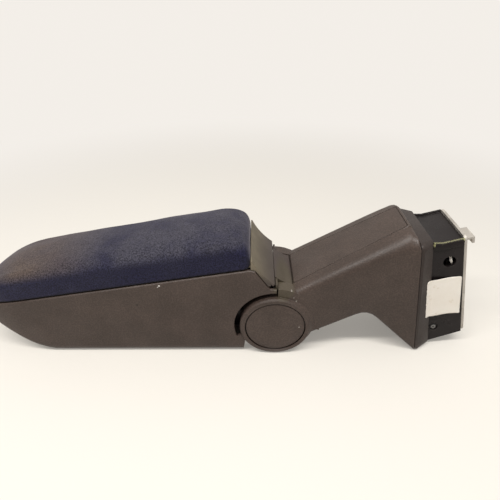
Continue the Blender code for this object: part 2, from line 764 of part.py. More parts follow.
# Lid
def pad_outline(x):
    """Half width, base and top of the pad at x, with rounded ends in plan and side view."""
    base = parting_z(x) + SEAM
    along = (PAD_REAR_X - x) / (PAD_REAR_X - ARM_NOSE_X)
    height = PAD_HEIGHT - PAD_NOSE_DROP * along ** 2
    from_nose = max(1.0 - (x - ARM_NOSE_X - PAD_INSET) / PAD_NOSE_RADIUS, 0.0)
    from_rear = max(1.0 - (PAD_REAR_X - x) / PAD_END_RADIUS, 0.0)
    nose_share = PAD_NOSE_FACE + (1.0 - PAD_NOSE_FACE) * math.sqrt(max(1.0 - from_nose ** 2, 0.0))
    rear_share = PAD_END_FACE + (1.0 - PAD_END_FACE) * math.sqrt(max(1.0 - from_rear ** 2, 0.0))
    return base, base + height * min(nose_share, rear_share)


def pad_ring(x, half):
    base, top = pad_outline(x)
    shoulder = min(PAD_SHOULDER, half * 0.6)
    drop = min(PAD_SHOULDER * 0.95, (top - base) * 0.62)
    flat = half - shoulder
    side = [(0.0, top), (flat * 0.55, top - PAD_CROWN * 0.25)]
    for y, z in arc(1.0, 90, 0, 6):
        side.append((flat + shoulder * y, top - PAD_CROWN - drop + drop * z))
    side += [(half, base + PAD_HEM), (half - PAD_HEM, base), (0.0, base)]
    mirrored = [(-y, z) for y, z in reversed(side[1:-1])]
    return [(x, y, z) for y, z in side + mirrored]


def lid_rows(inset, rear_x, rear_corner):
    """Stations from the nose to a rear end whose plan corners are rounded."""
    half = ARM_HALF_WIDTH - inset
    rows = nose_rows(inset)
    rows += [(x, half) for x in (ARM_NOSE_X + ARM_NOSE_LENGTH + 0.002, -0.1500)]
    rows += [(rear_x - PAD_END_RADIUS * share, half) for share in (1.0, 0.7, 0.45)]
    for degrees in (0, 25, 45, 62, 76, 88):
        angle = math.radians(degrees)
        back = rear_corner * (1.0 - math.sin(angle))
        rows.append((rear_x - back, half - rear_corner * (1.0 - math.cos(angle))))
    return rows


def lid_pad():
    rows = lid_rows(PAD_INSET, PAD_REAR_X, PAD_CORNER)
    pad = loft("lid_pad", [pad_ring(x, half) for x, half in rows], CLOTH)
    tray_top = SEAM + TRAY_THICKNESS + GAP
    board_top = tray_top + BOARD_THICKNESS + GAP

    def pocket(name, inset, rear_x, lift):
        rings = [
            slab_ring(x, half, parting_z(x) - 0.005, parting_z(x) + lift)
            for x, half in lid_rows(inset, rear_x, PAD_CORNER)
        ]
        return loft(name, rings, None, CUTTERS)

    cut(
        pad,
        pocket("tray_pocket", TRAY_INSET - GAP, PAD_REAR_X + PAD_CORNER, tray_top),
        pocket("board_pocket", BOARD_INSET - GAP, PAD_REAR_X - BOARD_INSET + GAP, board_top),
    )
    return pad


def pad_board():
    """The moulded board inside the pad, screwed down through the tray."""
    lift = SEAM + TRAY_THICKNESS + GAP

    def ring(x, half):
        return slab_ring(x, half, parting_z(x) + lift, parting_z(x) + lift + BOARD_THICKNESS)

    rows = lid_rows(BOARD_INSET, PAD_REAR_X - BOARD_INSET, PAD_CORNER)
    board = loft("pad_board", [ring(x, half) for x, half in rows], INNER)
    for number, (x, y) in enumerate(tray_screw_places(), 1):
        cut(board, tilted_pin("board_hole_%d" % number, x, y, SCREW_SHANK_RADIUS + RUNNING))
    return board


def tray_screw_places():
    return [(x, y) for x in TRAY_SCREW_XS for y in (-TRAY_SCREW_Y, TRAY_SCREW_Y)]


def lid_up():
    """Unit vector square to the parting plane."""
    return Vector((-PARTING_SLOPE, 0.0, 1.0)).normalized()


def tilted_pin(name, x, y, radius):
    """A hole cutter square to the parting plane at x and y."""
    made = cylinder(name, radius, -PAST, PAST, steps=12)
    made.rotation_euler = lid_up().to_track_quat("Y", "X").to_euler()
    made.location = (x, y, parting_z(x))
    return made


def tray_screws():
    up = lid_up()
    for number, (x, y) in enumerate(tray_screw_places(), 1):
        seat = Vector((x, y, parting_z(x) + SEAM - GAP))
        screw("tray_screw_%d" % number, seat, up, TRAY_THICKNESS + GAP * 2 + BOARD_THICKNESS * 0.8)


def lid_tray():
    """Lid moulding: flat tray under the pad and the hollow-curved rear cover with its hinge."""
    def ring(x, half):
        return slab_ring(x, half, parting_z(x) + SEAM, parting_z(x) + SEAM + TRAY_THICKNESS)

    half = ARM_HALF_WIDTH - TRAY_INSET
    rows = nose_rows(TRAY_INSET)
    rows += [(ARM_NOSE_X + ARM_NOSE_LENGTH + 0.002, half), (REAR_CORNER_X + 0.0015, half)]
    tray = loft("lid_tray", [ring(x, width) for x, width in rows], OLIVE)
    outer = sagged_arc(COVER_TOP, COVER_LIP, COVER_SAG, 10)
    inner = offset_line(outer, -COVER_THICKNESS)
    under = [point for point in inner if point[0] < LIP_TAPER_X and point[1] < parting_z(point[0]) + SEAM]
    pad_back = PAD_REAR_X + GAP
    corner_x = COVER_TOP[0] + 0.0008
    corner = (corner_x, parting_z(corner_x) + SEAM - RUNNING)
    back_foot = (pad_back, parting_z(pad_back) + SEAM - RUNNING)
    profile = outer + [LIP_FOOT] + list(reversed(under)) + [corner, back_foot, (pad_back, COVER_TOP[1])]
    join(tray, across("rear_cover", profile, -COVER_HALF_WIDTH, COVER_HALF_WIDTH, None, CUTTERS))
    slant = Vector(REAR_SLANT_FOOT) - Vector(REAR_SLANT_TOP)
    away = Vector((-slant.y, slant.x)).normalized() * SEAM
    high = Vector(REAR_SLANT_TOP) + away
    low = high + slant * FLANGE_SHARE
    middle = offset_line(outer, -COVER_THICKNESS / 2.0)
    flange = [(pad_back + SEAM, back_foot[1]), tuple(high), tuple(low), FLANGE_FOOT]
    flange += list(reversed(middle[1:-1]))
    side_face = COVER_HALF_WIDTH - RUNNING * 2
    for side, tag in ((-1, "near"), (1, "far")):
        low_y, high_y = sorted((side * (COVER_HALF_WIDTH - COVER_THICKNESS), side * side_face))
        join(tray, across("cover_side_" + tag, flange, low_y, high_y, None, CUTTERS))
        low_y, high_y = sorted((side * KNUCKLE_INNER, side * KNUCKLE_OUTER))
        join(tray, cylinder("knuckle_" + tag, KNUCKLE_RADIUS, low_y, high_y, LID_AXIS, 16))
        low_y, high_y = sorted((side * (KNUCKLE_OUTER + SEAM / 2), side * (EAR_OUTER + SEAM)))
        cut(tray, cylinder("ear_room_" + tag, KNUCKLE_RADIUS + SEAM, low_y, high_y, LID_AXIS, 16))
    cut(tray, cylinder("knuckle_bore", LID_PIN_RADIUS + RUNNING, -EAR_OUTER, EAR_OUTER, LID_AXIS, 16))
    strike_top = parting_z(STRIKER_X) + SEAM + TRAY_THICKNESS / 2.0
    striker = [
        (STRIKER_X, strike_top), (STRIKER_X, striker_foot()), (STRIKER_X + STRIKER_NOSE, striker_foot()),
        (STRIKER_X + STRIKER_NOSE, striker_foot() + STRIKER_BARB),
        (STRIKER_X + STRIKER_WEB, striker_foot() + STRIKER_BARB * 2), (STRIKER_X + STRIKER_WEB, strike_top),
    ]
    join(tray, across("striker", striker, -BUTTON_HALF_WIDTH / 2, BUTTON_HALF_WIDTH / 2, None, CUTTERS))
    for number, (x, y) in enumerate(tray_screw_places(), 1):
        cut(tray, tilted_pin("tray_hole_%d" % number, x, y, SCREW_SHANK_RADIUS + RUNNING))
    return tray


def lid_hinge_pin():
    half = LID_PIN_HALF_LENGTH
    return cylinder("lid_hinge_pin", LID_PIN_RADIUS, -half, half, LID_AXIS, 16, STEEL, PARTS)


# Latch
def latch_button():
    middle = button_centre_z()
    face = ARM_NOSE_X - BUTTON_PROUD
    edge = BUTTON_HEIGHT / 2.0
    inner = ARM_NOSE_X + WALL + BUTTON_PLAY
    low, high = (face, -BUTTON_HALF_WIDTH, middle - edge), (inner, BUTTON_HALF_WIDTH, middle + edge)
    button = block("latch_button", low, high, INNER, PARTS)
    rim = BUTTON_RIM
    guard = block("button_flange", (inner - GAP, -BUTTON_HALF_WIDTH - rim, middle - edge - rim),
                  (inner + rim, BUTTON_HALF_WIDTH + rim, middle + edge + rim))
    hook_x = STRIKER_X + STRIKER_NOSE + GAP
    top = striker_foot() + HOOK_RISE
    stem_end = hook_x + HOOK_LENGTH
    shank_x = hook_x + STRIKER_WEB
    stem = block("button_stem", (inner, -STEM_HALF_WIDTH, middle - STEM_HALF_HEIGHT),
                 (stem_end, STEM_HALF_WIDTH, middle + STEM_HALF_HEIGHT))
    hook = across("button_hook", [
        (shank_x, middle), (stem_end, middle), (stem_end, top), (hook_x, top),
        (hook_x, top - BUTTON_RIM), (shank_x, top - BUTTON_RIM - STRIKER_BARB),
    ], -STEM_HALF_WIDTH, STEM_HALF_WIDTH, None, CUTTERS)
    join(button, guard, stem, hook)
    return button


def latch_spring():
    middle = button_centre_z()
    start = STRIKER_X + STRIKER_NOSE + HOOK_LENGTH + GAP * 2 + LATCH_WIRE / 2
    end = LATCH_WALL_X - GAP - LATCH_WIRE / 2
    per_turn, turns = 8, 5
    points = []
    for i in range(per_turn * turns + 1):
        angle = 2.0 * math.pi * i / per_turn
        x = start + (end - start) * i / (per_turn * turns)
        points.append((x, LATCH_COIL_RADIUS * math.cos(angle), middle + LATCH_COIL_RADIUS * math.sin(angle)))
    return wire("latch_spring", points, LATCH_WIRE / 2, STEEL)


def lid_buffers():
    x = LATCH_WALL_X + LATCH_WALL / 2.0
    for side, tag in ((-1, "near"), (1, "far")):
        y = side * BUFFER_Y
        low, high = latch_wall_top() + GAP, parting_z(x) + SEAM - GAP
        made = cylinder("lid_buffer_" + tag, BUFFER_RADIUS, low, high, steps=12, look=RUBBER, home=PARTS)
        for vertex in made.data.vertices:
            px, py, pz = vertex.co
            vertex.co = (x + px, y - pz, py)


# Neck
def neck_rows():
    """Top and foot points of the neck's sections, from inside the hub to the collar."""
    start, end = Vector(PANEL_START), Vector(PANEL_END)
    tops = [start.lerp(end, share) for share in (-0.12, 0.0, 0.22, 0.45, 0.68, 0.82, 0.92)]
    crest = end + (end - start).normalized() * NECK_CREST_REACH
    roll = bezier(end, crest, COLLAR_FRONT_TOP, 4)
    tops = [tuple(point) for point in tops] + roll
    rise, flare = Vector(NECK_FOOT_START), Vector(COLLAR_FRONT_FOOT)
    knee = Vector(NECK_KNEE)
    before, after = knee.lerp(rise, 0.16), knee.lerp(flare, 0.18)
    feet = [tuple(rise.lerp(before, share)) for share in (0.0, 0.2, 0.45, 0.7)]
    feet += bezier(before, knee, after, 4)
    feet += [tuple(after.lerp(flare, share)) for share in (0.3, 0.6, 1.0)]
    return list(zip(tops, feet))


def blend(low, high, share):
    share = min(max(share, 0.0), 1.0)
    return low + (high - low) * share * share * (3.0 - 2.0 * share)


def neck_ring(top, foot, share, side_wall=0.0, top_wall=0.0, foot_wall=0.0):
    """Section with a flat top, soft shoulders and flat sides, in the plane of top, foot and Y."""
    top, foot = Vector(top), Vector(foot)
    height = (top - foot).length
    along = (top - foot) / height
    side = blend(NECK_HALF_WIDTH, NECK_END_HALF_WIDTH, (share - 0.7) / 0.3) - side_wall
    mid_flat = NECK_SHOULDER_START + (NECK_SHOULDER_END - NECK_SHOULDER_START) * min(share / 0.64, 1.0)
    rim = PANEL_START_HALF_WIDTH + (PANEL_END_HALF_WIDTH - PANEL_START_HALF_WIDTH) * min(share / 0.64, 1.0)
    flat = blend(mid_flat, NECK_END_HALF_WIDTH - COLLAR_CORNER, (share - 0.78) / 0.22) - side_wall * 0.6
    fall = blend(NECK_MARGIN_FALL, 0.0, (share - 0.78) / 0.22)
    depth = min(blend(side - flat, COLLAR_CORNER, (share - 0.78) / 0.22), height * 0.45)
    corner = NECK_FOOT_CORNER
    points = [(0.0, height - top_wall), (min(rim + SEAM * 2, flat - SEAM), height - top_wall)]
    for y, t in arc(1.0, 90, 0, 7):
        points.append((flat + (side - flat) * y, height - top_wall - fall - depth + depth * t))
    for y, t in arc(corner, 0, -90, 3):
        points.append((side - corner + y, foot_wall + corner + t))
    points.append((0.0, foot_wall))
    points += [(-y, t) for y, t in reversed(points[1:-1])]
    return [(foot.x + along.x * t, y, foot.y + along.y * t) for y, t in points]


def panel_matrix():
    rise = Vector(PANEL_END) - Vector(PANEL_START)
    turn = Matrix.Rotation(-math.atan2(rise.y, rise.x), 4, "Y")
    return Matrix.Translation((PANEL_START[0], 0.0, PANEL_START[1])) @ turn


def panel_outline(grow):
    length = (Vector(PANEL_END) - Vector(PANEL_START)).length
    start, end = PANEL_START_HALF_WIDTH + grow, PANEL_END_HALF_WIDTH + grow
    corners = [(-grow, -start), (length + grow, -end), (length + grow, end), (-grow, start)]
    return rounded(corners, PANEL_CORNER)


def hub_barrel():
    """The barrel whose raised end rings run out softly into the neck's sides on the right."""
    count = 48
    outward = [(CHEEK_HALF_WIDTH + out, spread) for out, spread in RING_RUNOUT]
    outward += [(RING_HALF_WIDTH - RING_EDGE, 0.0), (RING_HALF_WIDTH, -1.0)]
    levels = [(-y, spread) for y, spread in reversed(outward)] + outward
    rings = []
    for y, spread in levels:
        ring = []
        for i in range(count):
            degrees = 360.0 * i / count
            facing = max(math.cos(math.radians(degrees - RING_BLEND_ANGLE)), 0.0) ** 4
            if spread < 0.0:
                radius = RING_RADIUS - RING_EDGE
            else:
                radius = RING_RADIUS + RING_BLEND * spread * facing
            x, z = polar(radius, degrees)
            ring.append((x, y, z))
        rings.append(ring)
    return loft("hub_barrel", rings, None, CUTTERS)


def panel_cutter(name, grow, low):
    return drawn_plate(name, panel_outline(grow), low, 0.02, panel_matrix(), None, CUTTERS)


def neck_housing():
    rows = neck_rows()
    last = len(rows) - 1
    outer = [neck_ring(top, foot, i / last) for i, (top, foot) in enumerate(rows)]
    housing = loft("neck_housing", outer, GRAINED)
    cheek = [(CHEEK_START_X, 0.0), (CHEEK_START_X, math.sqrt(CHEEK_RADIUS ** 2 - CHEEK_START_X ** 2))]
    first = math.degrees(math.acos(CHEEK_START_X / CHEEK_RADIUS))
    cheek += arc(CHEEK_RADIUS, first, CHEEK_END_ANGLE, 14)[1:]
    edge = CHEEK_HALF_WIDTH - RUNNING * 2
    join(
        housing,
        hub_barrel(),
        across("cheeks", cheek, -edge, edge, None, CUTTERS),
    )
    walls = (NECK_WALL, NECK_TOP_WALL, NECK_WALL)
    inner = [neck_ring(top, foot, i / last, *walls) for i, (top, foot) in enumerate(rows)]
    past_top = (COLLAR_FRONT_TOP[0] + PAST, COLLAR_FRONT_TOP[1] - SEAM * 2)
    past_foot = (COLLAR_FRONT_FOOT[0] + PAST, COLLAR_FRONT_FOOT[1] + SEAM * 2)
    inner.append(neck_ring(past_top, past_foot, 1.0, *walls))
    hollow = loft("neck_hollow", inner, None, CUTTERS)
    running = DRUM_HALF_WIDTH + DRUM_SIDE_GAP
    cut(
        housing,
        hollow,
        cylinder("drum_room", DRUM_RADIUS + DRUM_RUNNING_GAP, -running, running, steps=64),
        cylinder("hub_room", HUB_CAVITY_RADIUS, -HUB_CAVITY_HALF_WIDTH, HUB_CAVITY_HALF_WIDTH, steps=48),
        cylinder("near_cap_recess", CAP_RECESS_RADIUS, -RING_HALF_WIDTH - PAST,
                 CAP_THICKNESS + CAP_SEAT - RING_HALF_WIDTH, steps=48),
        cylinder("far_cap_recess", CAP_RECESS_RADIUS, RING_HALF_WIDTH - CAP_THICKNESS - CAP_SEAT,
                 RING_HALF_WIDTH + PAST, steps=48),
        panel_cutter("panel_rebate", SEAM, -PANEL_THICKNESS - GAP),
        panel_cutter("panel_opening", -PANEL_LEDGE, -0.02),
    )
    return housing


def rear_panel():
    return drawn_plate("rear_panel", panel_outline(0.0), -PANEL_THICKNESS, 0.0, panel_matrix(), GRAINED)


def collar_ring(top, foot, half, corner):
    top, foot = Vector(top), Vector(foot)
    height = (top - foot).length
    along = (top - foot) / height
    points = [(0.0, height)]
    for y, t in arc(corner, 90, 0, 5):
        points.append((half - corner + y, height - corner + t))
    for y, t in arc(NECK_FOOT_CORNER, 0, -90, 3):
        points.append((half - NECK_FOOT_CORNER + y, NECK_FOOT_CORNER + t))
    points.append((0.0, 0.0))
    points += [(-y, t) for y, t in reversed(points[1:-1])]
    return [(foot.x + along.x * t, y, foot.y + along.y * t) for y, t in points]


def collar_trim():
    """Tapering frame that closes the neck round the steel bracket."""
    def step(point, toward, distance):
        return tuple(Vector(point) + (Vector(toward) - Vector(point)).normalized() * distance)

    front_top, front_foot = COLLAR_FRONT_TOP, COLLAR_FRONT_FOOT
    rings = []
    for distance in (SEAM, SEAM + COLLAR_BAND):
        top = (front_top[0] + distance, front_top[1])
        foot = (front_foot[0] + distance, front_foot[1])
        rings.append(collar_ring(top, foot, NECK_END_HALF_WIDTH, COLLAR_CORNER))
    rings.append(collar_ring(COLLAR_REAR_TOP, COLLAR_REAR_FOOT, COLLAR_REAR_HALF_WIDTH, COLLAR_CORNER * 0.6))
    collar = loft("collar_trim", rings, GRAINED)
    half = FRAME_HALF_WIDTH + SEAM
    cut(collar, block("collar_opening", (0.10, -half, FRAME_FOOT_LEFT[1] - SEAM),
                      (0.20, half, FRAME_TOP_BEND[1] + SEAM)))
    return collar


# Steel bracket
def end_matrix():
    """Local X down the bracket's end, local Y across, local Z out of the floor plate."""
    down = Vector((FRAME_FOOT_RIGHT[0] - FRAME_TOP_RIGHT[0], 0.0, FRAME_FOOT_RIGHT[1] - FRAME_TOP_RIGHT[1]))
    down.normalize()
    across_y = Vector((0.0, 1.0, 0.0))
    out = down.cross(across_y)
    turn = Matrix((down, across_y, out)).transposed().to_4x4()
    return Matrix.Translation((FRAME_TOP_RIGHT[0], 0.0, FRAME_TOP_RIGHT[1])) @ turn


def end_length():
    return (Vector(FRAME_FOOT_RIGHT) - Vector(FRAME_TOP_RIGHT)).length


def rivet_places():
    inset = FRAME_HALF_WIDTH - SHEET - FLANGE_WIDTH / 2.0
    return [(along, side * inset) for along in (RIVET_INSET, end_length() - RIVET_INSET) for side in (-1, 1)]


def plate_holes():
    return [(PLATE_HOLE_INSET, 0.0), (end_length() - PLATE_HOLE_INSET, 0.0)]


def end_cylinder(name, along, y, radius, low, high, steps=16):
    made = cylinder(name, radius, low, high, steps=steps)
    up = Matrix.Rotation(math.radians(90), 4, "X")
    made.data.transform(end_matrix() @ Matrix.Translation((along, y, 0.0)) @ up)
    return made


def mount_frame():
    """Folded black sheet steel: two side arms up to the shaft, a top, and end flanges."""
    side = arc(FRAME_EYE_RADIUS, 60, 280, 14) + FRAME_LOWER_LINE
    side += [FRAME_FOOT_LEFT, FRAME_FOOT_RIGHT, FRAME_TOP_RIGHT, FRAME_TOP_BEND, FRAME_TOP_LEFT]
    side += FRAME_UPPER_LINE
    inner = FRAME_HALF_WIDTH - SHEET
    frame = across("mount_frame", side, -FRAME_HALF_WIDTH, -inner, BLACK_STEEL)
    far = across("far_side", side, inner, FRAME_HALF_WIDTH, None, CUTTERS)
    top_line = [FRAME_TOP_LEFT, FRAME_TOP_BEND, FRAME_TOP_RIGHT]
    under = [(x, z - SHEET) for x, z in reversed(top_line)]
    reach = FRAME_HALF_WIDTH - 0.0005
    top = across("frame_top", top_line + under, -reach, reach, None, CUTTERS)
    join(frame, far, top)
    length = end_length()
    for sign, tag in ((-1, "near"), (1, "far")):
        low_y, high_y = sorted((sign * (inner - FLANGE_WIDTH), sign * (inner + 0.0005)))
        outline = [(0.004, low_y), (length - 0.002, low_y), (length - 0.002, high_y), (0.004, high_y)]
        flange = drawn_plate("end_flange_" + tag, outline, -SHEET, -RUNNING, end_matrix(), None, CUTTERS)
        join(frame, flange)
        join(frame, top_rim("top_rim_" + tag, sign))
    past = FRAME_HALF_WIDTH + PAST
    cut(frame, cylinder("eye_bore", SHAFT_RADIUS + RUNNING, -past, past, steps=32))
    cut(frame, cylinder("car_hole", CAR_HOLE_RADIUS, -past, past, CAR_HOLE_CENTRE, 24))
    cut(frame, cylinder("side_screw_hole", SIDE_SCREW_HOLE, -past, past, SIDE_SCREW_CENTRE, 16))
    for sign, tag in ((-1, "near"), (1, "far")):
        face = sign * FRAME_HALF_WIDTH
        low_y, high_y = sorted((face - sign * SIDE_SCREW_SINK, face + sign * 0.002))
        cut(frame, cylinder("screw_recess_" + tag, SIDE_SCREW_RECESS, low_y, high_y, SIDE_SCREW_CENTRE, 20))
    for number, (along, y) in enumerate(rivet_places(), 1):
        cut(frame, end_cylinder("flange_hole_%d" % number, along, y, RIVET_RADIUS + RUNNING, -0.008, 0.008))
    return frame


def top_rim(name, side):
    """The rolled rim along one top edge of the bracket."""
    stations = [(RIM_START_X, FRAME_TOP_BEND[1]), FRAME_TOP_BEND, FRAME_TOP_RIGHT]
    section = [(-0.0008, -RIM_DEPTH), (RIM_OUT, -RIM_DEPTH), (RIM_OUT, -0.0008), (RIM_OUT * 0.5, 0.0008),
               (-0.0008, RIM_RISE), (-0.0022, RIM_RISE * 0.8), (-0.0030, -0.0010)]
    rings = []
    for x, z in stations:
        rings.append([(x, side * (FRAME_HALF_WIDTH + out), z + up) for out, up in section])
    return loft(name, rings, None, CUTTERS)


def floor_plate():
    """Galvanised plate that bolts to the car's floor, with its hooked locating tab."""
    length = end_length()
    half = FRAME_HALF_WIDTH - 0.0005
    corners = [(-PLATE_OVERLAP, -half), (length, -half), (length, half), (-PLATE_OVERLAP, half)]
    outline = rounded(corners, PLATE_CORNER)
    plate = drawn_plate("floor_plate", outline, GAP, GAP + PLATE_THICKNESS, end_matrix(), ZINC)
    outer = GAP + PLATE_THICKNESS
    hook = [
        (0.0, outer - 0.001), (0.0, outer + TAB_REACH), (TAB_DROP, outer + TAB_REACH),
        (TAB_DROP, outer + TAB_REACH - TAB_SHEET), (TAB_SHEET, outer + TAB_REACH - TAB_SHEET),
        (TAB_SHEET, outer - 0.001),
    ]
    swing = end_matrix() @ Matrix(((1, 0, 0, 0), (0, 0, -1, 0), (0, 1, 0, 0), (0, 0, 0, 1)))
    join(plate, drawn_plate("locating_tab", hook, -TAB_FAR_Y, -TAB_NEAR_Y, swing, None, CUTTERS))
    for number, (along, y) in enumerate(plate_holes(), 1):
        hole = end_cylinder("floor_bolt_hole_%d" % number, along, y, PLATE_HOLE_RADIUS, -0.004, 0.008)
        cut(plate, hole)
    for number, (along, y) in enumerate(rivet_places(), 1):
        hole = end_cylinder("rivet_hole_%d" % number, along, y, RIVET_RADIUS + RUNNING, -0.004, 0.008)
        cut(plate, hole)
    return plate


def plate_rivets():
    matrix = end_matrix()
    inward = -(matrix.to_3x3() @ Vector((0.0, 0.0, 1.0)))
    for number, (along, y) in enumerate(rivet_places(), 1):
        seat = matrix @ Vector((along, y, GAP * 2 + PLATE_THICKNESS))
        screw("plate_rivet_%d" % number, seat, inward, SHEET + PLATE_THICKNESS + RIVET_HEAD_HEIGHT, STEEL,
              RIVET_HEAD_RADIUS, RIVET_RADIUS, RIVET_HEAD_HEIGHT)


def side_screws():
    for side, tag in ((-1, "near"), (1, "far")):
        x, z = SIDE_SCREW_CENTRE
        seat = Vector((x, side * (FRAME_HALF_WIDTH - SIDE_SCREW_SINK + GAP), z))
        screw("side_screw_" + tag, seat, (0.0, -side, 0.0), 0.008, BLACK_STEEL, SCREW_HEAD_RADIUS,
              SIDE_SCREW_HOLE - RUNNING, 0.0012)


# Pivot hardware
def pivot_shaft():
    half = SHAFT_HALF_LENGTH
    groove = circlip_y()
    low, high = groove - RUNNING, groove + CIRCLIP_THICKNESS + RUNNING
    deep = SHAFT_RADIUS - 0.0012
    chamfer = 0.0008
    end = [
        (0.0, half), (SHAFT_RADIUS - chamfer, half), (SHAFT_RADIUS, half - chamfer), (SHAFT_RADIUS, high),
        (deep, high), (deep, low), (SHAFT_RADIUS, low),
    ]
    profile = end + [(radius, -y) for radius, y in reversed(end)]
    return turned("pivot_shaft", profile, STEEL, steps=24)


def circlip_y():
    return FRAME_HALF_WIDTH + GAP + WAVE_WASHER_THICKNESS + GAP


def pivot_rings():
    bore = SHAFT_RADIUS + RUNNING
    for side, tag in ((-1, "near"), (1, "far")):
        inner_y = DRUM_HALF_WIDTH + (FRAME_HALF_WIDTH - SHEET - DRUM_HALF_WIDTH - WASHER_THICKNESS) / 2.0
        low_y, high_y = sorted((side * inner_y, side * (inner_y + WASHER_THICKNESS)))
        tube_wall("thrust_washer_" + tag, WASHER_RADIUS, bore, low_y, high_y, NYLON, steps=24)
        start = FRAME_HALF_WIDTH + GAP
        low_y, high_y = sorted((side * start, side * (start + WAVE_WASHER_THICKNESS)))
        tube_wall("wave_washer_" + tag, WASHER_RADIUS, bore, low_y, high_y, STEEL, steps=24)
        low_y, high_y = sorted((side * circlip_y(), side * (circlip_y() + CIRCLIP_THICKNESS)))
        clip_bore = SHAFT_RADIUS - 0.0012 + RUNNING
        outline = arc(CIRCLIP_RADIUS, 120, 420, 16) + arc(clip_bore, 420, 120, 16)
        across("circlip_" + tag, outline, low_y, high_y, STEEL)


def pivot_caps():
    """Plain round covers, flush in the rings, with a faint dome."""
    for side, tag in ((-1, "near"), (1, "far")):
        face = RING_HALF_WIDTH
        low = face - CAP_THICKNESS
        profile = [(0.0, face + CAP_DOME)]
        for share in (0.35, 0.7, 0.93):
            profile.append((CAP_RADIUS * share, face + CAP_DOME * (1.0 - share ** 2)))
        profile += [(CAP_RADIUS, face - 0.0008), (CAP_RADIUS, low), (0.0, low)]
        if side < 0:
            profile = [(radius, -y) for radius, y in reversed(profile)]
        turned("pivot_cap_" + tag, profile, GRAINED, steps=40)


def blank_label():
    """A plain worn paper sticker on the near side of the bracket."""
    slope = math.atan2(FRAME_TOP_RIGHT[0] - FRAME_FOOT_RIGHT[0], FRAME_TOP_RIGHT[1] - FRAME_FOOT_RIGHT[1])
    corners = []
    for sx, sz in ((-1, -1), (1, -1), (1, 1), (-1, 1)):
        u, v = sx * LABEL_WIDTH / 2.0, sz * LABEL_HEIGHT / 2.0
        corners.append((
            LABEL_CENTRE[0] + u * math.cos(slope) + v * math.sin(slope),
            LABEL_CENTRE[1] - u * math.sin(slope) + v * math.cos(slope),
        ))
    near = -FRAME_HALF_WIDTH - GAP
    return across("blank_label", corners, near - LABEL_THICKNESS, near, PAPER)


arm_tub()
bin_mat()
arm_bracket()
arm_bushes()
clutch_spring()
drum_cover()
lid_tray()
pad_board()
lid_pad()
tray_screws()
lid_hinge_pin()
lid_buffers()
latch_button()
latch_spring()
neck_housing()
rear_panel()
collar_trim()
mount_frame()
floor_plate()
plate_rivets()
side_screws()
pivot_shaft()
pivot_rings()
pivot_caps()
blank_label()
for number, place in enumerate(bolt_places(), 1):
    screw("arm_bolt_%d" % number, place, (-1.0, 0.0, 0.0), ARM_BOLT_LENGTH)
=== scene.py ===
import math

import bmesh
import bpy
from mathutils import Matrix, Vector, noise


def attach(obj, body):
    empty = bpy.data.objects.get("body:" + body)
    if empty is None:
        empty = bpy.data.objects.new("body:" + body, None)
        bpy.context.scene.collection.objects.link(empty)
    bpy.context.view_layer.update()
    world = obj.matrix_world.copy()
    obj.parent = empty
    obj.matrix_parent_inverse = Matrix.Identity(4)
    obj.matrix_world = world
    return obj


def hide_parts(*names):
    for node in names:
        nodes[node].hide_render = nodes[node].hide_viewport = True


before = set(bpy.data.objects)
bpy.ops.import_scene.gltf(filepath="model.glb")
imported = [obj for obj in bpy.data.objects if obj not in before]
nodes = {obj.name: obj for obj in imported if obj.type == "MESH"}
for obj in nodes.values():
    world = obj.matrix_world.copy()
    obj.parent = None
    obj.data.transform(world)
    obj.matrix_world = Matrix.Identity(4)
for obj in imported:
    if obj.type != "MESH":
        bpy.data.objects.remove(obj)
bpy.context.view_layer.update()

scene = bpy.context.scene

# The pivot shaft's middle, from which the pad, the sticker and the camera are measured
PIVOT = Vector((0.053, 0.0, 0.036))

# Sockets of a Mix node that mixes colours
MIX_SHARE, MIX_FIRST, MIX_SECOND, MIX_RESULT = 0, 6, 7, 2


def clamped(value):
    return min(max(value, 0.0), 1.0)


# Node helpers
def add_node(tree, kind, values=None, **settings):
    """A shader node with its settings, and constant values for its sockets."""
    made = tree.nodes.new("ShaderNode" + kind)
    for key, value in settings.items():
        setattr(made, key, value)
    for key, value in (values or {}).items():
        made.inputs[key].default_value = value
    return made


def add_range(tree, value, from_min, from_max, to_min=0.0, to_max=1.0):
    """Maps from_min..from_max of value to to_min..to_max, clamped and smoothed."""
    limits = {"From Min": from_min, "From Max": from_max, "To Min": to_min, "To Max": to_max}
    made = add_node(tree, "MapRange", limits, interpolation_type="SMOOTHSTEP")
    tree.links.new(value, made.inputs["Value"])
    return made.outputs["Result"]


def is_output(value):
    return hasattr(value, "is_output")


SHADER_SAMPLES = 6
# The spots' distances count Y less, and their middle is full up to a share of the radius
SPOT_SCALE = (1.0, 0.2, 1.0)
SPOT_CORE = 0.6
# Occlusion that counts as deep in a groove, and as open, for painted shade
GROOVE, OPEN = 0.30, 0.85


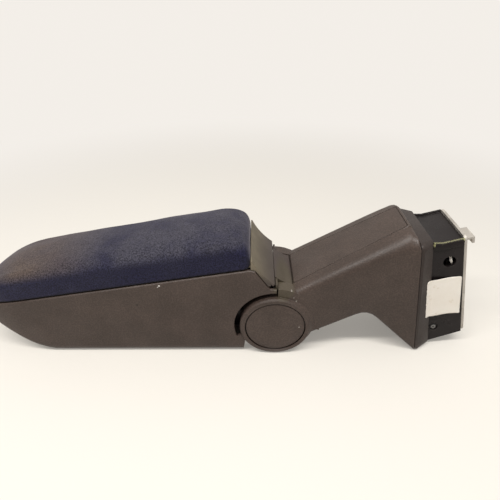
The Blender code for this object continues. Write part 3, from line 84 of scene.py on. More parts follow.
class Look:
    """A material's node tree, with short calls for the nodes used here.

    A texture's scale counts its cells or waves in a metre of object space. Lengths are in
    metres, and masks, shares and strengths go from 0 to 1.
    """

    def __init__(self, name, roughness=0.5, metallic=0.0, specular=0.5):
        self.made = bpy.data.materials.new(name)
        self.made.use_nodes = True
        self.tree = self.made.node_tree
        self.shader = self.tree.nodes["Principled BSDF"]
        self.shader.inputs["Roughness"].default_value = roughness
        self.shader.inputs["Metallic"].default_value = metallic
        self.shader.inputs["Specular IOR Level"].default_value = specular
        self.place = self.tree.nodes.new("ShaderNodeTexCoord").outputs["Object"]

    def node(self, kind, **settings):
        return add_node(self.tree, kind, **settings)

    def join(self, value, socket):
        """Links an output to the socket, or sets a constant on it."""
        if is_output(value):
            self.tree.links.new(value, socket)
        else:
            socket.default_value = value

    def fill(self, node, **values):
        for key, value in values.items():
            self.join(value, node.inputs[key.replace("_", " ")])
        return node

    def stretched(self, scale):
        """Object coordinates scaled by a vector."""
        made = self.node("Mapping")
        self.fill(made, Scale=scale, Vector=self.place)
        return made.outputs["Vector"]

    def noise(self, scale, detail=2.0, roughness=0.5, vector=None):
        made = self.node("TexNoise")
        self.fill(made, Scale=scale, Detail=detail, Roughness=roughness)
        self.fill(made, Vector=vector or self.place)
        return made.outputs["Fac"]

    def cells(self, scale, feature="F1", output="Distance"):
        made = self.node("TexVoronoi", feature=feature)
        self.fill(made, Vector=self.place, Scale=scale)
        return made.outputs[output]

    def wave_x(self, scale, distortion, detail_scale):
        """Ribs that follow one another along X."""
        made = self.node("TexWave", wave_type="BANDS", bands_direction="X", wave_profile="SIN")
        self.fill(made, Vector=self.place, Scale=scale, Distortion=distortion)
        self.fill(made, Detail=2.0, Detail_Scale=detail_scale)
        return made.outputs["Fac"]

    def span(self, value, low, high, to_low=0.0, to_high=1.0):
        """Maps low..high of value to to_low..to_high, clamped and smoothed."""
        return add_range(self.tree, value, low, high, to_low, to_high)

    def math(self, operation, a, b=0.0):
        made = self.node("Math", operation=operation)
        for socket, value in zip(made.inputs, (a, b)):
            self.join(value, socket)
        return made.outputs["Value"]

    def product(self, a, b):
        return self.math("MULTIPLY", a, b)

    def total(self, *weighed):
        """Sum of (value, weight) pairs."""
        made = None
        for value, weight in weighed:
            part = self.product(value, weight)
            made = self.math("ADD", made, part) if made else part
        return made

    def mix(self, share, a, b, blend="MIX"):
        made = self.node("Mix", data_type="RGBA", blend_type=blend)
        self.join(share, made.inputs[MIX_SHARE])
        for index, tone in ((MIX_FIRST, a), (MIX_SECOND, b)):
            self.join(tone if is_output(tone) else (*tone, 1.0), made.inputs[index])
        return made.outputs[MIX_RESULT]

    def tint(self, tone, mask, strength, colour):
        """Tone with a colour laid over it, at a strength, where the mask is 1."""
        return self.mix(self.product(mask, strength), tone, colour)

    def shaded(self, tone, factor):
        """Tone multiplied by a number."""
        grey = self.node("CombineColor")
        self.fill(grey, Red=factor, Green=factor, Blue=factor)
        return self.mix(1.0, tone, grey.outputs["Color"], "MULTIPLY")

    def axis(self, letter):
        made = self.node("SeparateXYZ")
        self.fill(made, Vector=self.place)
        return made.outputs[letter]

    def red(self, colour):
        made = self.node("SeparateColor")
        self.fill(made, Color=colour)
        return made.outputs["Red"]

    def away_from(self, scale, centre):
        """Distance to a point, with both scaled by a vector first."""
        made = self.node("VectorMath", operation="DISTANCE")
        self.join(self.stretched(scale), made.inputs[0])
        made.inputs[1].default_value = [a * b for a, b in zip(scale, centre)]
        return made.outputs["Value"]

    def spot(self, x, y, z, radius):
        """1 in a small round spot on a side; Y counts little, so that it lies on the skin."""
        return self.span(self.away_from(SPOT_SCALE, (x, y, z)), radius, radius * SPOT_CORE)

    def specks(self, scale, size, rare):
        """1 inside rare round specks: a share of the cells has one."""
        made = self.node("TexVoronoi", feature="F1")
        self.fill(made, Vector=self.place, Scale=scale)
        near = self.span(made.outputs["Distance"], size, size * 0.5)
        chosen = self.math("GREATER_THAN", self.red(made.outputs["Color"]), 1.0 - rare)
        return self.product(near, chosen)

    def bump(self, height, strength, distance, under=None):
        made = self.node("Bump")
        self.fill(made, Height=height, Strength=strength, Distance=distance)
        if under:
            self.fill(made, Normal=under)
        return made.outputs["Normal"]

    def rounded(self, radius):
        """The normal as if every edge were rounded."""
        made = self.node("Bevel", samples=SHADER_SAMPLES)
        self.fill(made, Radius=radius)
        return made.outputs["Normal"]

    def edges(self, radius, low=0.02, high=0.35):
        """About 1 along outer and inner edges, from how much a rounded normal turns."""
        dot = self.node("VectorMath", operation="DOT_PRODUCT")
        self.join(self.rounded(radius), dot.inputs[0])
        self.join(self.node("NewGeometry").outputs["Normal"], dot.inputs[1])
        return self.span(self.math("SUBTRACT", 1.0, dot.outputs["Value"]), low, high)

    def rubbed(self, radius, scale, low, high, least, most):
        """Edges worn unevenly, by between least and most."""
        patchy = self.span(self.noise(scale, 3.0), low, high, least, most)
        return self.product(self.edges(radius), patchy)

    def crevice_shade(self, reach, deep):
        """Painted shade: 1 in the open, down to the value deep in grooves and seams."""
        made = self.node("AmbientOcclusion", samples=SHADER_SAMPLES)
        self.fill(made, Distance=reach)
        return self.span(made.outputs["AO"], GROOVE, OPEN, deep, 1.0)

    def finish(self, colour, roughness, normal):
        self.fill(self.shader, Base_Color=colour, Normal=normal)
        if roughness is not None:
            self.fill(self.shader, Roughness=roughness)
        return self.made


# Materials
EDGE_RADIUS = 0.0006
PLASTIC_SPECULAR = 0.40

# Moulded plastic: everything near the floor is painted lighter, as painted bounce light from
# the floor, and one patch on the cheek olive
BOUNCE_FROM, BOUNCE_TO = 0.0100, 0.0020
PAINTED_BOUNCE_TONE = (0.135, 0.115, 0.108)
RUBBED_GAIN, RUBBED_LIFT = 1.75, 0.012
DUST_TONE = (0.42, 0.38, 0.33)
GRIT_TONE = (0.012, 0.010, 0.009)
CHEEK_PATCH = (0.0610, -0.0385, 0.0800, 0.0130)
CHEEK_TONE = (0.090, 0.076, 0.046)
# Single specks of dust and chips that stand out, and painted highlight dots: place, radius,
# colour
DUST_SPECKS_AND_GLINTS = (
    ((-0.0584, -0.0405, 0.0873, 0.0011), (0.80, 0.78, 0.74)),
    ((-0.0600, -0.0405, 0.0858, 0.0007), (0.60, 0.58, 0.55)),
    ((-0.0832, -0.0405, 0.0640, 0.0010), (0.010, 0.009, 0.008)),
    ((0.0770, -0.0435, 0.0370, 0.0007), (0.50, 0.46, 0.42)),
    # The last four are painted highlight dots along the crease between the cheek and the
    # shoulder
    ((0.0685, -0.0395, 0.0794, 0.0011), (0.34, 0.31, 0.28)),
    ((0.0707, -0.0395, 0.0711, 0.0008), (0.22, 0.20, 0.18)),
    ((0.0733, -0.0410, 0.0674, 0.0010), (0.26, 0.24, 0.21)),
    ((0.0810, -0.0340, 0.0877, 0.0010), (0.30, 0.27, 0.25)),
)


def moulded_plastic(name, dark, light, grain=800.0, depth=0.00018, roughness=0.42):
    """Grained moulding: pebble grain, cloudy tone, dust and rubbed edges, with painted shade in
    crevices, painted bounce light near the floor and painted highlight dots.
    """
    look = Look(name, specular=PLASTIC_SPECULAR)
    pebbles = look.cells(grain, "SMOOTH_F1")
    height = look.total((pebbles, 0.8), (look.noise(grain * 1.7, 3.0, 0.6), 0.5))
    tone = look.mix(look.span(look.noise(22.0, 4.0, 0.6), 0.35, 0.68), dark, light)
    valleys = look.span(pebbles, 0.20, 0.70, 0.80, 1.14)
    # Darker grain valleys, times painted shade in grooves and seams
    tone = look.shaded(tone, look.product(valleys, look.crevice_shade(0.0030, 0.25)))
    # Painted bounce light from the floor: lighter near it
    tone = look.tint(tone, look.span(look.axis("Z"), BOUNCE_FROM, BOUNCE_TO), 0.55, PAINTED_BOUNCE_TONE)
    worn = look.rubbed(EDGE_RADIUS, 60.0, 0.30, 0.62, 0.25, 0.75)
    tone = look.mix(worn, tone, [min(c * RUBBED_GAIN + RUBBED_LIFT, 1.0) for c in light])
    tone = look.tint(tone, look.specks(95.0, 0.035, 0.05), 0.65, DUST_TONE)
    tone = look.tint(tone, look.specks(60.0, 0.022, 0.04), 0.7, GRIT_TONE)
    tone = look.tint(tone, look.spot(*CHEEK_PATCH), 0.55, CHEEK_TONE)
    # Dust specks, chips and painted highlight dots
    for spot, colour in DUST_SPECKS_AND_GLINTS:
        tone = look.mix(look.spot(*spot), tone, colour)
    rough = look.span(look.noise(35.0, 3.0), 0.3, 0.7, roughness - 0.05, roughness + 0.07)
    normal = look.bump(height, 0.85, depth, look.rounded(EDGE_RADIUS))
    return look.finish(tone, rough, normal)


# Cloth: heights are over a line that slopes with the pad's base
NAVY = (0.012, 0.012, 0.033)
PALE_NAVY = (0.017, 0.017, 0.037)
DUST_AND_SHEEN_NAVY = (0.047, 0.045, 0.060)
NOSE_SHEEN_BROWN = (0.084, 0.062, 0.051)
LINT_TONE = (0.22, 0.21, 0.21)
PAD_SLOPE = -0.159
HEM_SHADE_FROM, HEM_SHADE_TO = 0.0998, 0.1032
TOP_FROM, TOP_TO = 0.118, 0.130
BROWN_FROM, BROWN_TO = -0.200, -0.105
SHEEN_WEIGHT = 0.34
SHEEN_ROUGHNESS = 0.42
SHEEN_TINT = (0.75, 0.70, 0.74, 1.0)


def napped_cloth():
    """Short-napped navy cloth with a fine rib; its top painted lighter with sheen and dust,
    brown painted sheen at the nose, and painted shade at the hem.
    """
    look = Look("navy_cloth", roughness=0.95, specular=0.18)
    nap = look.noise(760.0, 4.0, 0.8)
    rib = look.wave_x(260.0, 1.2, 3.0)
    patch = look.noise(16.0, 4.0, 0.62)
    tone = look.mix(look.span(patch, 0.38, 0.66), NAVY, PALE_NAVY)
    rise = look.math("ADD", look.axis("Z"), look.product(look.axis("X"), PAD_SLOPE))
    top = look.span(rise, TOP_FROM, TOP_TO)
    # Painted sheen and dust: the top is lighter, in patches
    dust_and_sheen = look.span(look.noise(24.0, 4.0, 0.6), 0.34, 0.62, 0.30, 1.0)
    tone = look.mix(look.product(top, dust_and_sheen), tone, DUST_AND_SHEEN_NAVY)
    # Painted sheen: brown on the top towards the nose
    along = look.span(look.axis("X"), BROWN_FROM, BROWN_TO, 1.0, 0.0)
    worn = look.product(look.product(along, top), look.span(patch, 0.25, 0.62, 0.55, 1.0))
    tone = look.mix(worn, tone, NOSE_SHEEN_BROWN)
    # Painted shade along the seam under the pad, darkest at its base
    hem_shade = look.span(rise, HEM_SHADE_FROM, HEM_SHADE_TO, 0.10, 1.0)
    tone = look.shaded(tone, look.product(look.span(nap, 0.36, 0.64, 0.45, 1.70), hem_shade))
    tone = look.tint(tone, look.specks(170.0, 0.05, 0.06), 0.30, LINT_TONE)
    height = look.total((nap, 0.6), (look.cells(900.0), 0.35), (rib, 0.22))
    made = look.finish(tone, None, look.bump(height, 0.7, 0.00022))
    look.shader.inputs["Sheen Weight"].default_value = SHEEN_WEIGHT
    look.shader.inputs["Sheen Roughness"].default_value = SHEEN_ROUGHNESS
    look.shader.inputs["Sheen Tint"].default_value = SHEEN_TINT
    return made


# Bracket: a painted highlight, an olive line, lies along the near side's upper rim, which
# slopes
RIM_SLOPE = 0.256
RIM_FROM, RIM_TO = 0.0717, 0.0732
RIM_INNER, RIM_OUTER = -0.0265, -0.0285
RIM_RADIUS = 0.0024
RIM_HIGHLIGHT_TONE = (0.42, 0.40, 0.20)
WORN_ENAMEL = (0.16, 0.15, 0.11)
ENAMEL_DUST = (0.25, 0.23, 0.20)


def painted_steel():
    """Black enamel with a slight orange peel, rubbed edges, and a painted highlight along the
    near upper rim.
    """
    look = Look("black_enamel", specular=0.24)
    cloud = look.span(look.noise(30.0, 3.0), 0.35, 0.7)
    tone = look.mix(cloud, (0.012, 0.009, 0.009), (0.018, 0.014, 0.014))
    tone = look.mix(look.rubbed(0.0005, 140.0, 0.45, 0.62, 0.0, 0.5), tone, WORN_ENAMEL)
    # Painted highlight along the near side's upper rim, where its edge turns
    climb = look.math("SUBTRACT", look.axis("Z"), look.product(look.axis("X"), RIM_SLOPE))
    near = look.span(look.axis("Y"), RIM_INNER, RIM_OUTER)
    rim_highlight = look.product(look.span(climb, RIM_FROM, RIM_TO), near)
    tone = look.mix(look.product(rim_highlight, look.edges(RIM_RADIUS, 0.01, 0.10)), tone, RIM_HIGHLIGHT_TONE)
    tone = look.tint(tone, look.specks(160.0, 0.05, 0.05), 0.5, ENAMEL_DUST)
    rough = look.span(look.noise(90.0, 4.0), 0.3, 0.7, 0.24, 0.38)
    normal = look.bump(look.noise(420.0, 2.0), 0.14, 0.00012, look.rounded(EDGE_RADIUS))
    return look.finish(tone, rough, normal)


def metal(name, low, high, rough_low, rough_high, spangle=120.0):
    """Bare or plated steel with cloudy crystals, fine scratches and dull patches."""
    look = Look(name, metallic=1.0)
    crystals = look.red(look.cells(spangle, "F1", "Color"))
    cloud = look.total((crystals, 0.5), (look.noise(60.0, 4.0), 0.5))
    tone = look.mix(look.span(cloud, 0.2, 0.8), low, high)
    scratch = look.noise(300.0, 2.0, 0.5, look.stretched((1.0, 1.0, 14.0)))
    uneven = look.math("ADD", cloud, look.product(scratch, 0.4))
    rough = look.span(uneven, 0.3, 1.0, rough_low, rough_high)
    normal = look.bump(scratch, 0.10, 0.00005, look.rounded(0.0004))
    return look.finish(tone, rough, normal)


# The near and far side screws' axis
SCREW_AXIS = (0.2190, 0.0, 0.0243)
RECESS_RADII = (0.0008, 0.0012)
HEAD_RADII = (0.0026, 0.0021)


def screw_head():
    """Blackened screw head, rubbed bright round its dark drive recess."""
    look = Look("side_screw_look", specular=0.5)
    out = look.away_from((1.0, 0.0, 1.0), SCREW_AXIS)
    ring = look.product(look.span(out, *RECESS_RADII), look.span(out, *HEAD_RADII))
    worn = look.product(ring, look.span(look.noise(700.0, 3.0), 0.30, 0.55, 0.45, 1.0))
    tone = look.mix(worn, (0.010, 0.009, 0.009), (0.22, 0.21, 0.20))
    return look.finish(tone, 0.40, look.bump(look.noise(900.0), 0.2, 0.00005))


def plain_finish(name, low, high, roughness):
    """Rubber, nylon and inner mouldings: cloudy tone, faint tooling texture."""
    look = Look(name, specular=0.4)
    tone = look.mix(look.span(look.noise(28.0, 4.0), 0.3, 0.7), low, high)
    rough = look.span(look.noise(60.0, 3.0), 0.3, 0.7, roughness - 0.05, roughness + 0.08)
    normal = look.bump(look.noise(900.0, 3.0), 0.4, 0.00003, look.rounded(0.0003))
    return look.finish(tone, rough, normal)


# Rear cover: brown at its foot, painted lighter and olive at its top, where light falls
COVER_FOOT, COVER_TOP = 0.086, 0.112
COVER_BROWN = (0.072, 0.056, 0.048)
COVER_OLIVE = (0.205, 0.172, 0.118)
COVER_CLOUD = (0.060, 0.050, 0.042)
COVER_WORN = (0.17, 0.15, 0.115)


def cover_plastic():
    """The lid's rear cover: olive where it catches light at the top, browner below."""
    look = Look("olive_moulding", specular=PLASTIC_SPECULAR)
    tone = look.mix(look.span(look.axis("Z"), COVER_FOOT, COVER_TOP), COVER_BROWN, COVER_OLIVE)
    cloud = look.noise(26.0, 4.0, 0.6)
    tone = look.mix(look.span(cloud, 0.35, 0.7, 0.0, 0.35), tone, COVER_CLOUD)
    tone = look.mix(look.rubbed(EDGE_RADIUS, 80.0, 0.3, 0.6, 0.2, 0.6), tone, COVER_WORN)
    rough = look.span(cloud, 0.3, 0.7, 0.50, 0.62)
    normal = look.bump(look.noise(1500.0, 3.0, 0.6), 0.35, 0.00004, look.rounded(EDGE_RADIUS))
    return look.finish(tone, rough, normal)


def paper():
    """Blank sticker: warm white, with faint foxing."""
    look = Look("label_paper_look", specular=0.3)
    cloud = look.span(look.noise(55.0, 4.0), 0.3, 0.7)
    tone = look.mix(cloud, (0.93, 0.87, 0.78), (0.97, 0.92, 0.84))
    stain = look.span(look.noise(120.0, 5.0, 0.7), 0.56, 0.70, 0.0, 0.55)
    tone = look.mix(stain, tone, (0.72, 0.62, 0.47))
    return look.finish(tone, 0.62, look.bump(look.noise(700.0, 3.0), 0.3, 0.00004))


GRAINED = moulded_plastic("grained_moulding", (0.060, 0.042, 0.034), (0.078, 0.055, 0.045))
SMOOTHER = moulded_plastic(
    "drum_moulding", (0.062, 0.045, 0.039), (0.078, 0.059, 0.051),
    grain=1300.0, depth=0.00006, roughness=0.54,
)
# Painted shade: a darker copy of the grained moulding for the collar, whose sides face away
# from the light
COLLAR = moulded_plastic("collar_shaded_moulding", (0.028, 0.019, 0.016), (0.040, 0.028, 0.024))
OLIVE = cover_plastic()
CLOTH = napped_cloth()
ENAMEL = painted_steel()
ZINC = metal("zinc_plate", (0.54, 0.51, 0.47), (0.70, 0.67, 0.62), 0.58, 0.74)
SCREW = screw_head()
STEEL = metal("plain_steel", (0.42, 0.41, 0.40), (0.56, 0.55, 0.53), 0.24, 0.42, spangle=220.0)
RUBBER = plain_finish("rubber_look", (0.014, 0.014, 0.014), (0.024, 0.023, 0.022), 0.82)
NYLON = plain_finish("nylon_look", (0.52, 0.50, 0.43), (0.62, 0.60, 0.53), 0.45)
INNER = plain_finish("inner_look", (0.024, 0.023, 0.022), (0.036, 0.034, 0.032), 0.62)
PAPER = paper()

# By the CAD material's name, and then for single nodes
FINISHES = {
    "black_navy_cloth": CLOTH,
    "grained_plastic": GRAINED,
    "olive_plastic": OLIVE,
    "inner_plastic": INNER,
    "white_nylon": NYLON,
    "black_rubber": RUBBER,
    "bright_steel": STEEL,
    "black_enamelled_steel": ENAMEL,
    "galvanised_steel": ZINC,
    "label_paper": PAPER,
}
OWN_FINISHES = {
    "drum_cover": SMOOTHER,
    "collar_trim": COLLAR,
    "side_screw_near": SCREW,
    "side_screw_far": SCREW,
}


# CAD nodes: materials, and smooth shading across shallow edges
SHARP_OVER = 34
WELD_DISTANCE = 0.000005


def smooth_tree(limit):
    """Geometry nodes that shade smooth, but keep edges over the limit sharp."""
    tree = bpy.data.node_groups.new("smooth_below_%d" % limit, "GeometryNodeTree")
    for way in ("INPUT", "OUTPUT"):
        tree.interface.new_socket("Geometry", in_out=way, socket_type="NodeSocketGeometry")
    start = tree.nodes.new("NodeGroupInput")
    end = tree.nodes.new("NodeGroupOutput")
    faces = tree.nodes.new("GeometryNodeSetShadeSmooth")
    faces.domain = "FACE"
    lines = tree.nodes.new("GeometryNodeSetShadeSmooth")
    lines.domain = "EDGE"
    lines.inputs["Shade Smooth"].default_value = False
    turn = tree.nodes.new("GeometryNodeInputMeshEdgeAngle")
    over = tree.nodes.new("FunctionNodeCompare")
    over.data_type = "FLOAT"
    over.operation = "GREATER_THAN"
    over.inputs["B"].default_value = math.radians(limit)
    tree.links.new(start.outputs[0], faces.inputs["Geometry"])
    tree.links.new(faces.outputs["Geometry"], lines.inputs["Geometry"])
    tree.links.new(turn.outputs["Unsigned Angle"], over.inputs["A"])
    tree.links.new(over.outputs["Result"], lines.inputs["Selection"])
    tree.links.new(lines.outputs["Geometry"], end.inputs[0])
    return tree


SMOOTH = smooth_tree(SHARP_OVER)
for node in nodes.values():
    slot = node.material_slots[0]
    slot.material = FINISHES[slot.material.name.split(".")[0]]
    weld = node.modifiers.new("weld", "WELD")
    weld.merge_threshold = WELD_DISTANCE
    shade = node.modifiers.new("shade", "NODES")
    shade.node_group = SMOOTH
for name, finish in OWN_FINISHES.items():
    nodes[name].material_slots[0].material = finish


# Mesh helpers
def object_from(name, bm):
    """Puts a bmesh into the scene as an object of its own."""
    mesh = bpy.data.meshes.new(name)
    bm.to_mesh(mesh)
    bm.free()
    made = bpy.data.objects.new(name, mesh)
    scene.collection.objects.link(made)
    return made


def closed_loft(name, rings):
    """Quads between rings of points, and a face at each end."""
    bm = bmesh.new()
    loops = [[bm.verts.new(point) for point in ring] for ring in rings]
    count = len(loops[0])
    for low, high in zip(loops, loops[1:]):
        for i in range(count):
            j = (i + 1) % count
            bm.faces.new((low[i], low[j], high[j], high[i]))
    bm.faces.new(list(reversed(loops[0])))
    bm.faces.new(loops[-1])
    bmesh.ops.recalc_face_normals(bm, faces=bm.faces)
    return object_from(name, bm)


def apply_modifiers(piece):
    graph = bpy.context.evaluated_depsgraph_get()
    mesh = bpy.data.meshes.new_from_object(piece.evaluated_get(graph))
    piece.modifiers.clear()
    piece.data = mesh


def dress(piece, material):
    """Moves a piece from the pivot's frame to the scene's, with one material, shaded smooth."""
    piece.data.transform(Matrix.Translation(PIVOT))
    piece.data.materials.clear()
    piece.data.materials.append(material)
    for face in piece.data.polygons:
        face.use_smooth = True


# Padded cloth lid: its base follows the parting line, and the sizes are those of the CAD pad
PARTING_HEIGHT = 0.0720
PARTING_SLOPE = 0.1590
SEAM = 0.0006
NOSE_X = -0.3050
NOSE_GAP = 0.0013
NOSE_LENGTH = 0.0600
NOSE_POWER = 3.0
HALF_WIDTH = 0.0392
REAR_X = -0.0242
REAR_CORNER = 0.0070
HEIGHT = 0.0362
NOSE_DROP = 0.0067
NOSE_SHARE = 0.115
REAR_FALL = 0.0340
REAR_SHARE = 0.47
CROWN = 0.0023
# The shoulder's width, at most a share of the half width, and its drop as a share of that
# width, at most a share of the height
SHOULDER, SHOULDER_MOST = 0.0116, 0.6
DROP_SHARE, DROP_MOST = 0.95, 0.62
HEM = 0.0016
# How finely the pad is divided: round its section, then along it
SHOULDER_STEPS = 14
WALL_STEPS = 6
HEM_STEPS = 3
BASE_STEPS = 8
NOSE_STEPS = 18
MIDDLE_STEPS = 44
FALL_STEPS = 7
CORNER_STEPS = 8
# The first section is a little behind the nose, so that it has some width
FIRST_STEP = 0.00002
LEAST_HALF = 0.0035
LEAST_CUTTER_HALF = 0.002


def parting_z(x):
    return PARTING_HEIGHT + PARTING_SLOPE * x


def half_width_at(x, inset):
    """Plan half width of the pad at x: superellipse nose, rounded rear corners."""
    half = HALF_WIDTH - inset
    start = NOSE_X + NOSE_LENGTH
    if x < start:
        reach = min((start - x) / (NOSE_LENGTH - NOSE_GAP - inset), 1.0)
        return half * (1.0 - reach ** NOSE_POWER) ** (1.0 / NOSE_POWER)
    back = REAR_X - inset - x
    if back < REAR_CORNER:
        turn = (REAR_CORNER - back) / REAR_CORNER
        return half - REAR_CORNER * (1.0 - math.sqrt(max(1.0 - turn ** 2, 0.0)))
    return half


def eased(short, least):
    """A quarter of an ellipse: least at an end, where short is 1, and 1 where short is 0."""
    return least + (1.0 - least) * math.sqrt(max(1.0 - short ** 2, 0.0))


def crown_height(x):
    """Height of the pad over its base along the middle."""
    along = (REAR_X - x) / (REAR_X - NOSE_X)
    height = HEIGHT - NOSE_DROP * along ** 2
    from_nose = max(1.0 - (x - NOSE_X - NOSE_GAP) / NOSE_LENGTH, 0.0)
    from_rear = max(1.0 - (REAR_X - x) / REAR_FALL, 0.0)
    return height * min(eased(from_nose, NOSE_SHARE), eased(from_rear, REAR_SHARE))


def pad_section(x, half):
    """Half of the pad's section at x, from the crown down to the middle of its base."""
    base = parting_z(x) + SEAM
    top = base + crown_height(x)
    shoulder = min(SHOULDER, half * SHOULDER_MOST)
    drop = min(SHOULDER * DROP_SHARE, (top - base) * DROP_MOST)
    flat = half - shoulder
    side = []
    for i in range(SHOULDER_STEPS):
        share = i / SHOULDER_STEPS
        side.append((flat * share, top - CROWN * share ** 2))
    for i in range(SHOULDER_STEPS + 1):
        angle = math.pi / 2.0 * (1.0 - i / SHOULDER_STEPS)
        z = top - CROWN - drop * (1.0 - math.sin(angle))
        side.append((flat + shoulder * math.cos(angle), z))
    low = top - CROWN - drop
    for i in range(1, WALL_STEPS + 1):
        side.append((half, low + (base + HEM - low) * i / WALL_STEPS))
    for i in range(1, HEM_STEPS + 1):
        angle = math.pi / 2.0 * i / HEM_STEPS
        y = half - HEM * (1.0 - math.cos(angle))
        side.append((y, base + HEM * (1.0 - math.sin(angle))))
    inner = half - HEM
    side += [(inner * (1.0 - i / BASE_STEPS), base) for i in range(1, BASE_STEPS + 1)]
    return side


def pad_stations():
    """Where the pad's sections stand along X, closer together at both ends."""
    middle = NOSE_X + NOSE_LENGTH
    stop = REAR_X - REAR_FALL
    xs = [NOSE_X + NOSE_GAP + FIRST_STEP]
    for i in range(1, NOSE_STEPS):
        angle = math.pi / 2.0 * (1.0 - i / NOSE_STEPS)
        xs.append(middle - (NOSE_LENGTH - NOSE_GAP) * math.sin(angle) ** (2.0 / NOSE_POWER))
    xs += [middle + (stop - middle) * i / MIDDLE_STEPS for i in range(MIDDLE_STEPS)]
    xs += [stop + (REAR_FALL - REAR_CORNER) * i / FALL_STEPS for i in range(FALL_STEPS)]
    for i in range(CORNER_STEPS + 1):
        angle = math.pi / 2.0 * i / CORNER_STEPS
        xs.append(REAR_X - REAR_CORNER * (1.0 - math.sin(angle)))
    return xs


# The cloth run: held at the hem, free further up; no point moves over SWELL
HELD_TO = 0.10
HELD_FADE = 0.45
SWELL = 0.0008
PRESSURE = 4.0
FRAMES = 20
EVEN_PASSES, EVEN_SHARE = 12, 0.5
CLOTH_SETTINGS = {
    "quality": 6,
    "mass": 0.25,
    "tension_stiffness": 30.0,
    "compression_stiffness": 30.0,
    "shear_stiffness": 15.0,
    "bending_stiffness": 2.0,
    "vertex_group_mass": "held",
    "use_pressure": True,
    "uniform_pressure_force": PRESSURE,
}


def build_pad():
    """The pad as one loft, and how firmly each of its points is held."""
    rings = []
    hold = []
    for x in pad_stations():
        section = pad_section(x, max(half_width_at(x, 0.0), LEAST_HALF))
        ring = section + [(-y, z) for y, z in reversed(section[1:-1])]
        rings.append([(x, y, z) for y, z in ring])
        base = parting_z(x) + SEAM
        hold += [clamped(1.0 - ((z - base) / HEIGHT - HELD_TO) / HELD_FADE) for y, z in ring]
    return closed_loft("cloth_pad", rings), hold


def evened(moves, edges):
    """Each move blended, over and over, with the mean of its neighbours'."""
    near = [[] for _ in moves]
    for edge in edges:
        one, other = edge.vertices
        near[one].append(other)
        near[other].append(one)
    for _ in range(EVEN_PASSES):
        means = [sum((moves[i] for i in around), Vector()) * (EVEN_SHARE / len(around))
                 for around in near]
        moves = [move * (1.0 - EVEN_SHARE) + mean for move, mean in zip(moves, means)]
    return moves


def swell(piece, hold, cap):
    """Short cloth run under pressure, evened out; no point moves over the cap."""
    group = piece.vertex_groups.new(name="held")
    for index, weight in enumerate(hold):
        group.add([index], weight, "REPLACE")
    before = [vertex.co.copy() for vertex in piece.data.vertices]
    cloth = piece.modifiers.new("cloth", "CLOTH")
    for key, value in CLOTH_SETTINGS.items():
        setattr(cloth.settings, key, value)
    cloth.settings.effector_weights.gravity = 0.0
    cloth.point_cache.frame_start = 1
    cloth.point_cache.frame_end = FRAMES
    for step in range(1, FRAMES + 1):
        scene.frame_set(step)
    apply_modifiers(piece)
    moves = [vertex.co - old for vertex, old in zip(piece.data.vertices, before)]
    moves = evened(moves, piece.data.edges)
    for vertex, old, move in zip(piece.data.vertices, before, moves):
        vertex.co = old + move * min(cap / max(move.length, cap), 1.0)
    piece.vertex_groups.clear()
    scene.frame_set(1)


# Slow unevenness of the crown, by noise of two scales and weights, from over the hem
UNEVEN_WAVES = ((34.0, 0.55), (90.0, 0.18))
UNEVEN_FROM = 0.010
UNEVEN_FADE = 0.014
UNEVEN_DEPTH = 0.0007
UNEVEN_MEAN = 0.25


def uneven(piece):
    for vertex in piece.data.vertices:
        place = vertex.co
        lift = clamped((place.z - parting_z(place.x) - UNEVEN_FROM) / UNEVEN_FADE)
        soft = sum(noise.noise(place * scale) * weight for scale, weight in UNEVEN_WAVES)
        vertex.co += vertex.normal * (soft - UNEVEN_MEAN) * UNEVEN_DEPTH * lift


# Rooms cut out under the pad: inset from its outline, rear end, height over the parting line
CUTTER_DEPTH = 0.006
CUTTER_LAST_STEP = 0.0005
ROOMS = (
    ("tray_room", 0.0030, REAR_X + 0.01, 0.0030),
    ("board_room", 0.0065, REAR_X - 0.0077, 0.0063),
)


def slab(name, inset, rear_x, lift):
    """A cutter that follows the pad's outline, from below it to a height over the seam."""
    start, stop = NOSE_X + NOSE_GAP + inset, rear_x - CUTTER_LAST_STEP
    rings = []
    for x in [x for x in pad_stations() if start < x < stop] + [rear_x]:
        half = max(half_width_at(x, inset), LEAST_CUTTER_HALF)
        low, high = parting_z(x) - CUTTER_DEPTH, parting_z(x) + lift
        rings.append(((x, -half, low), (x, half, low), (x, half, high), (x, -half, high)))
    return closed_loft(name, rings)


pad, hold = build_pad()
swell(pad, hold, SWELL)
uneven(pad)
divide = pad.modifiers.new("divide", "SUBSURF")
divide.levels = 1
divide.render_levels = 1
apply_modifiers(pad)
cutters = [slab(*room) for room in ROOMS]
for cutter in cutters:
    room = pad.modifiers.new(cutter.name, "BOOLEAN")
    room.operation = "DIFFERENCE"
    room.solver = "EXACT"
    room.object = cutter
apply_modifiers(pad)
for cutter in cutters:
    bpy.data.objects.remove(cutter, do_unlink=True)
dress(pad, CLOTH)
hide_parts("lid_pad")
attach(pad, "lid")


# Sticker, lapped over the gap onto the collar. Its corners, in X and Z, are the upper left,
# upper right, lower left and lower right ones
STICKER_CORNERS = ((0.1446, 0.0500), (0.1788, 0.0536), (0.1523, 0.0049), (0.1878, 0.0076))
STICKER_ROUND = 0.09
STICKER_ACROSS, STICKER_DOWN = 40, 48
STICKER_LIFT = 0.0004
STICKER_THICKNESS = 0.0002
# The collar's rear edge in X and Z, half widths of collar and bracket, and the step between
COLLAR_REAR = ((0.1420, 0.0935), (0.1635, -0.0335))
COLLAR_FACE = 0.0326
COLLAR_TAPER = 0.51
BRACKET_FACE = 0.0297
BRIDGE = 0.0220
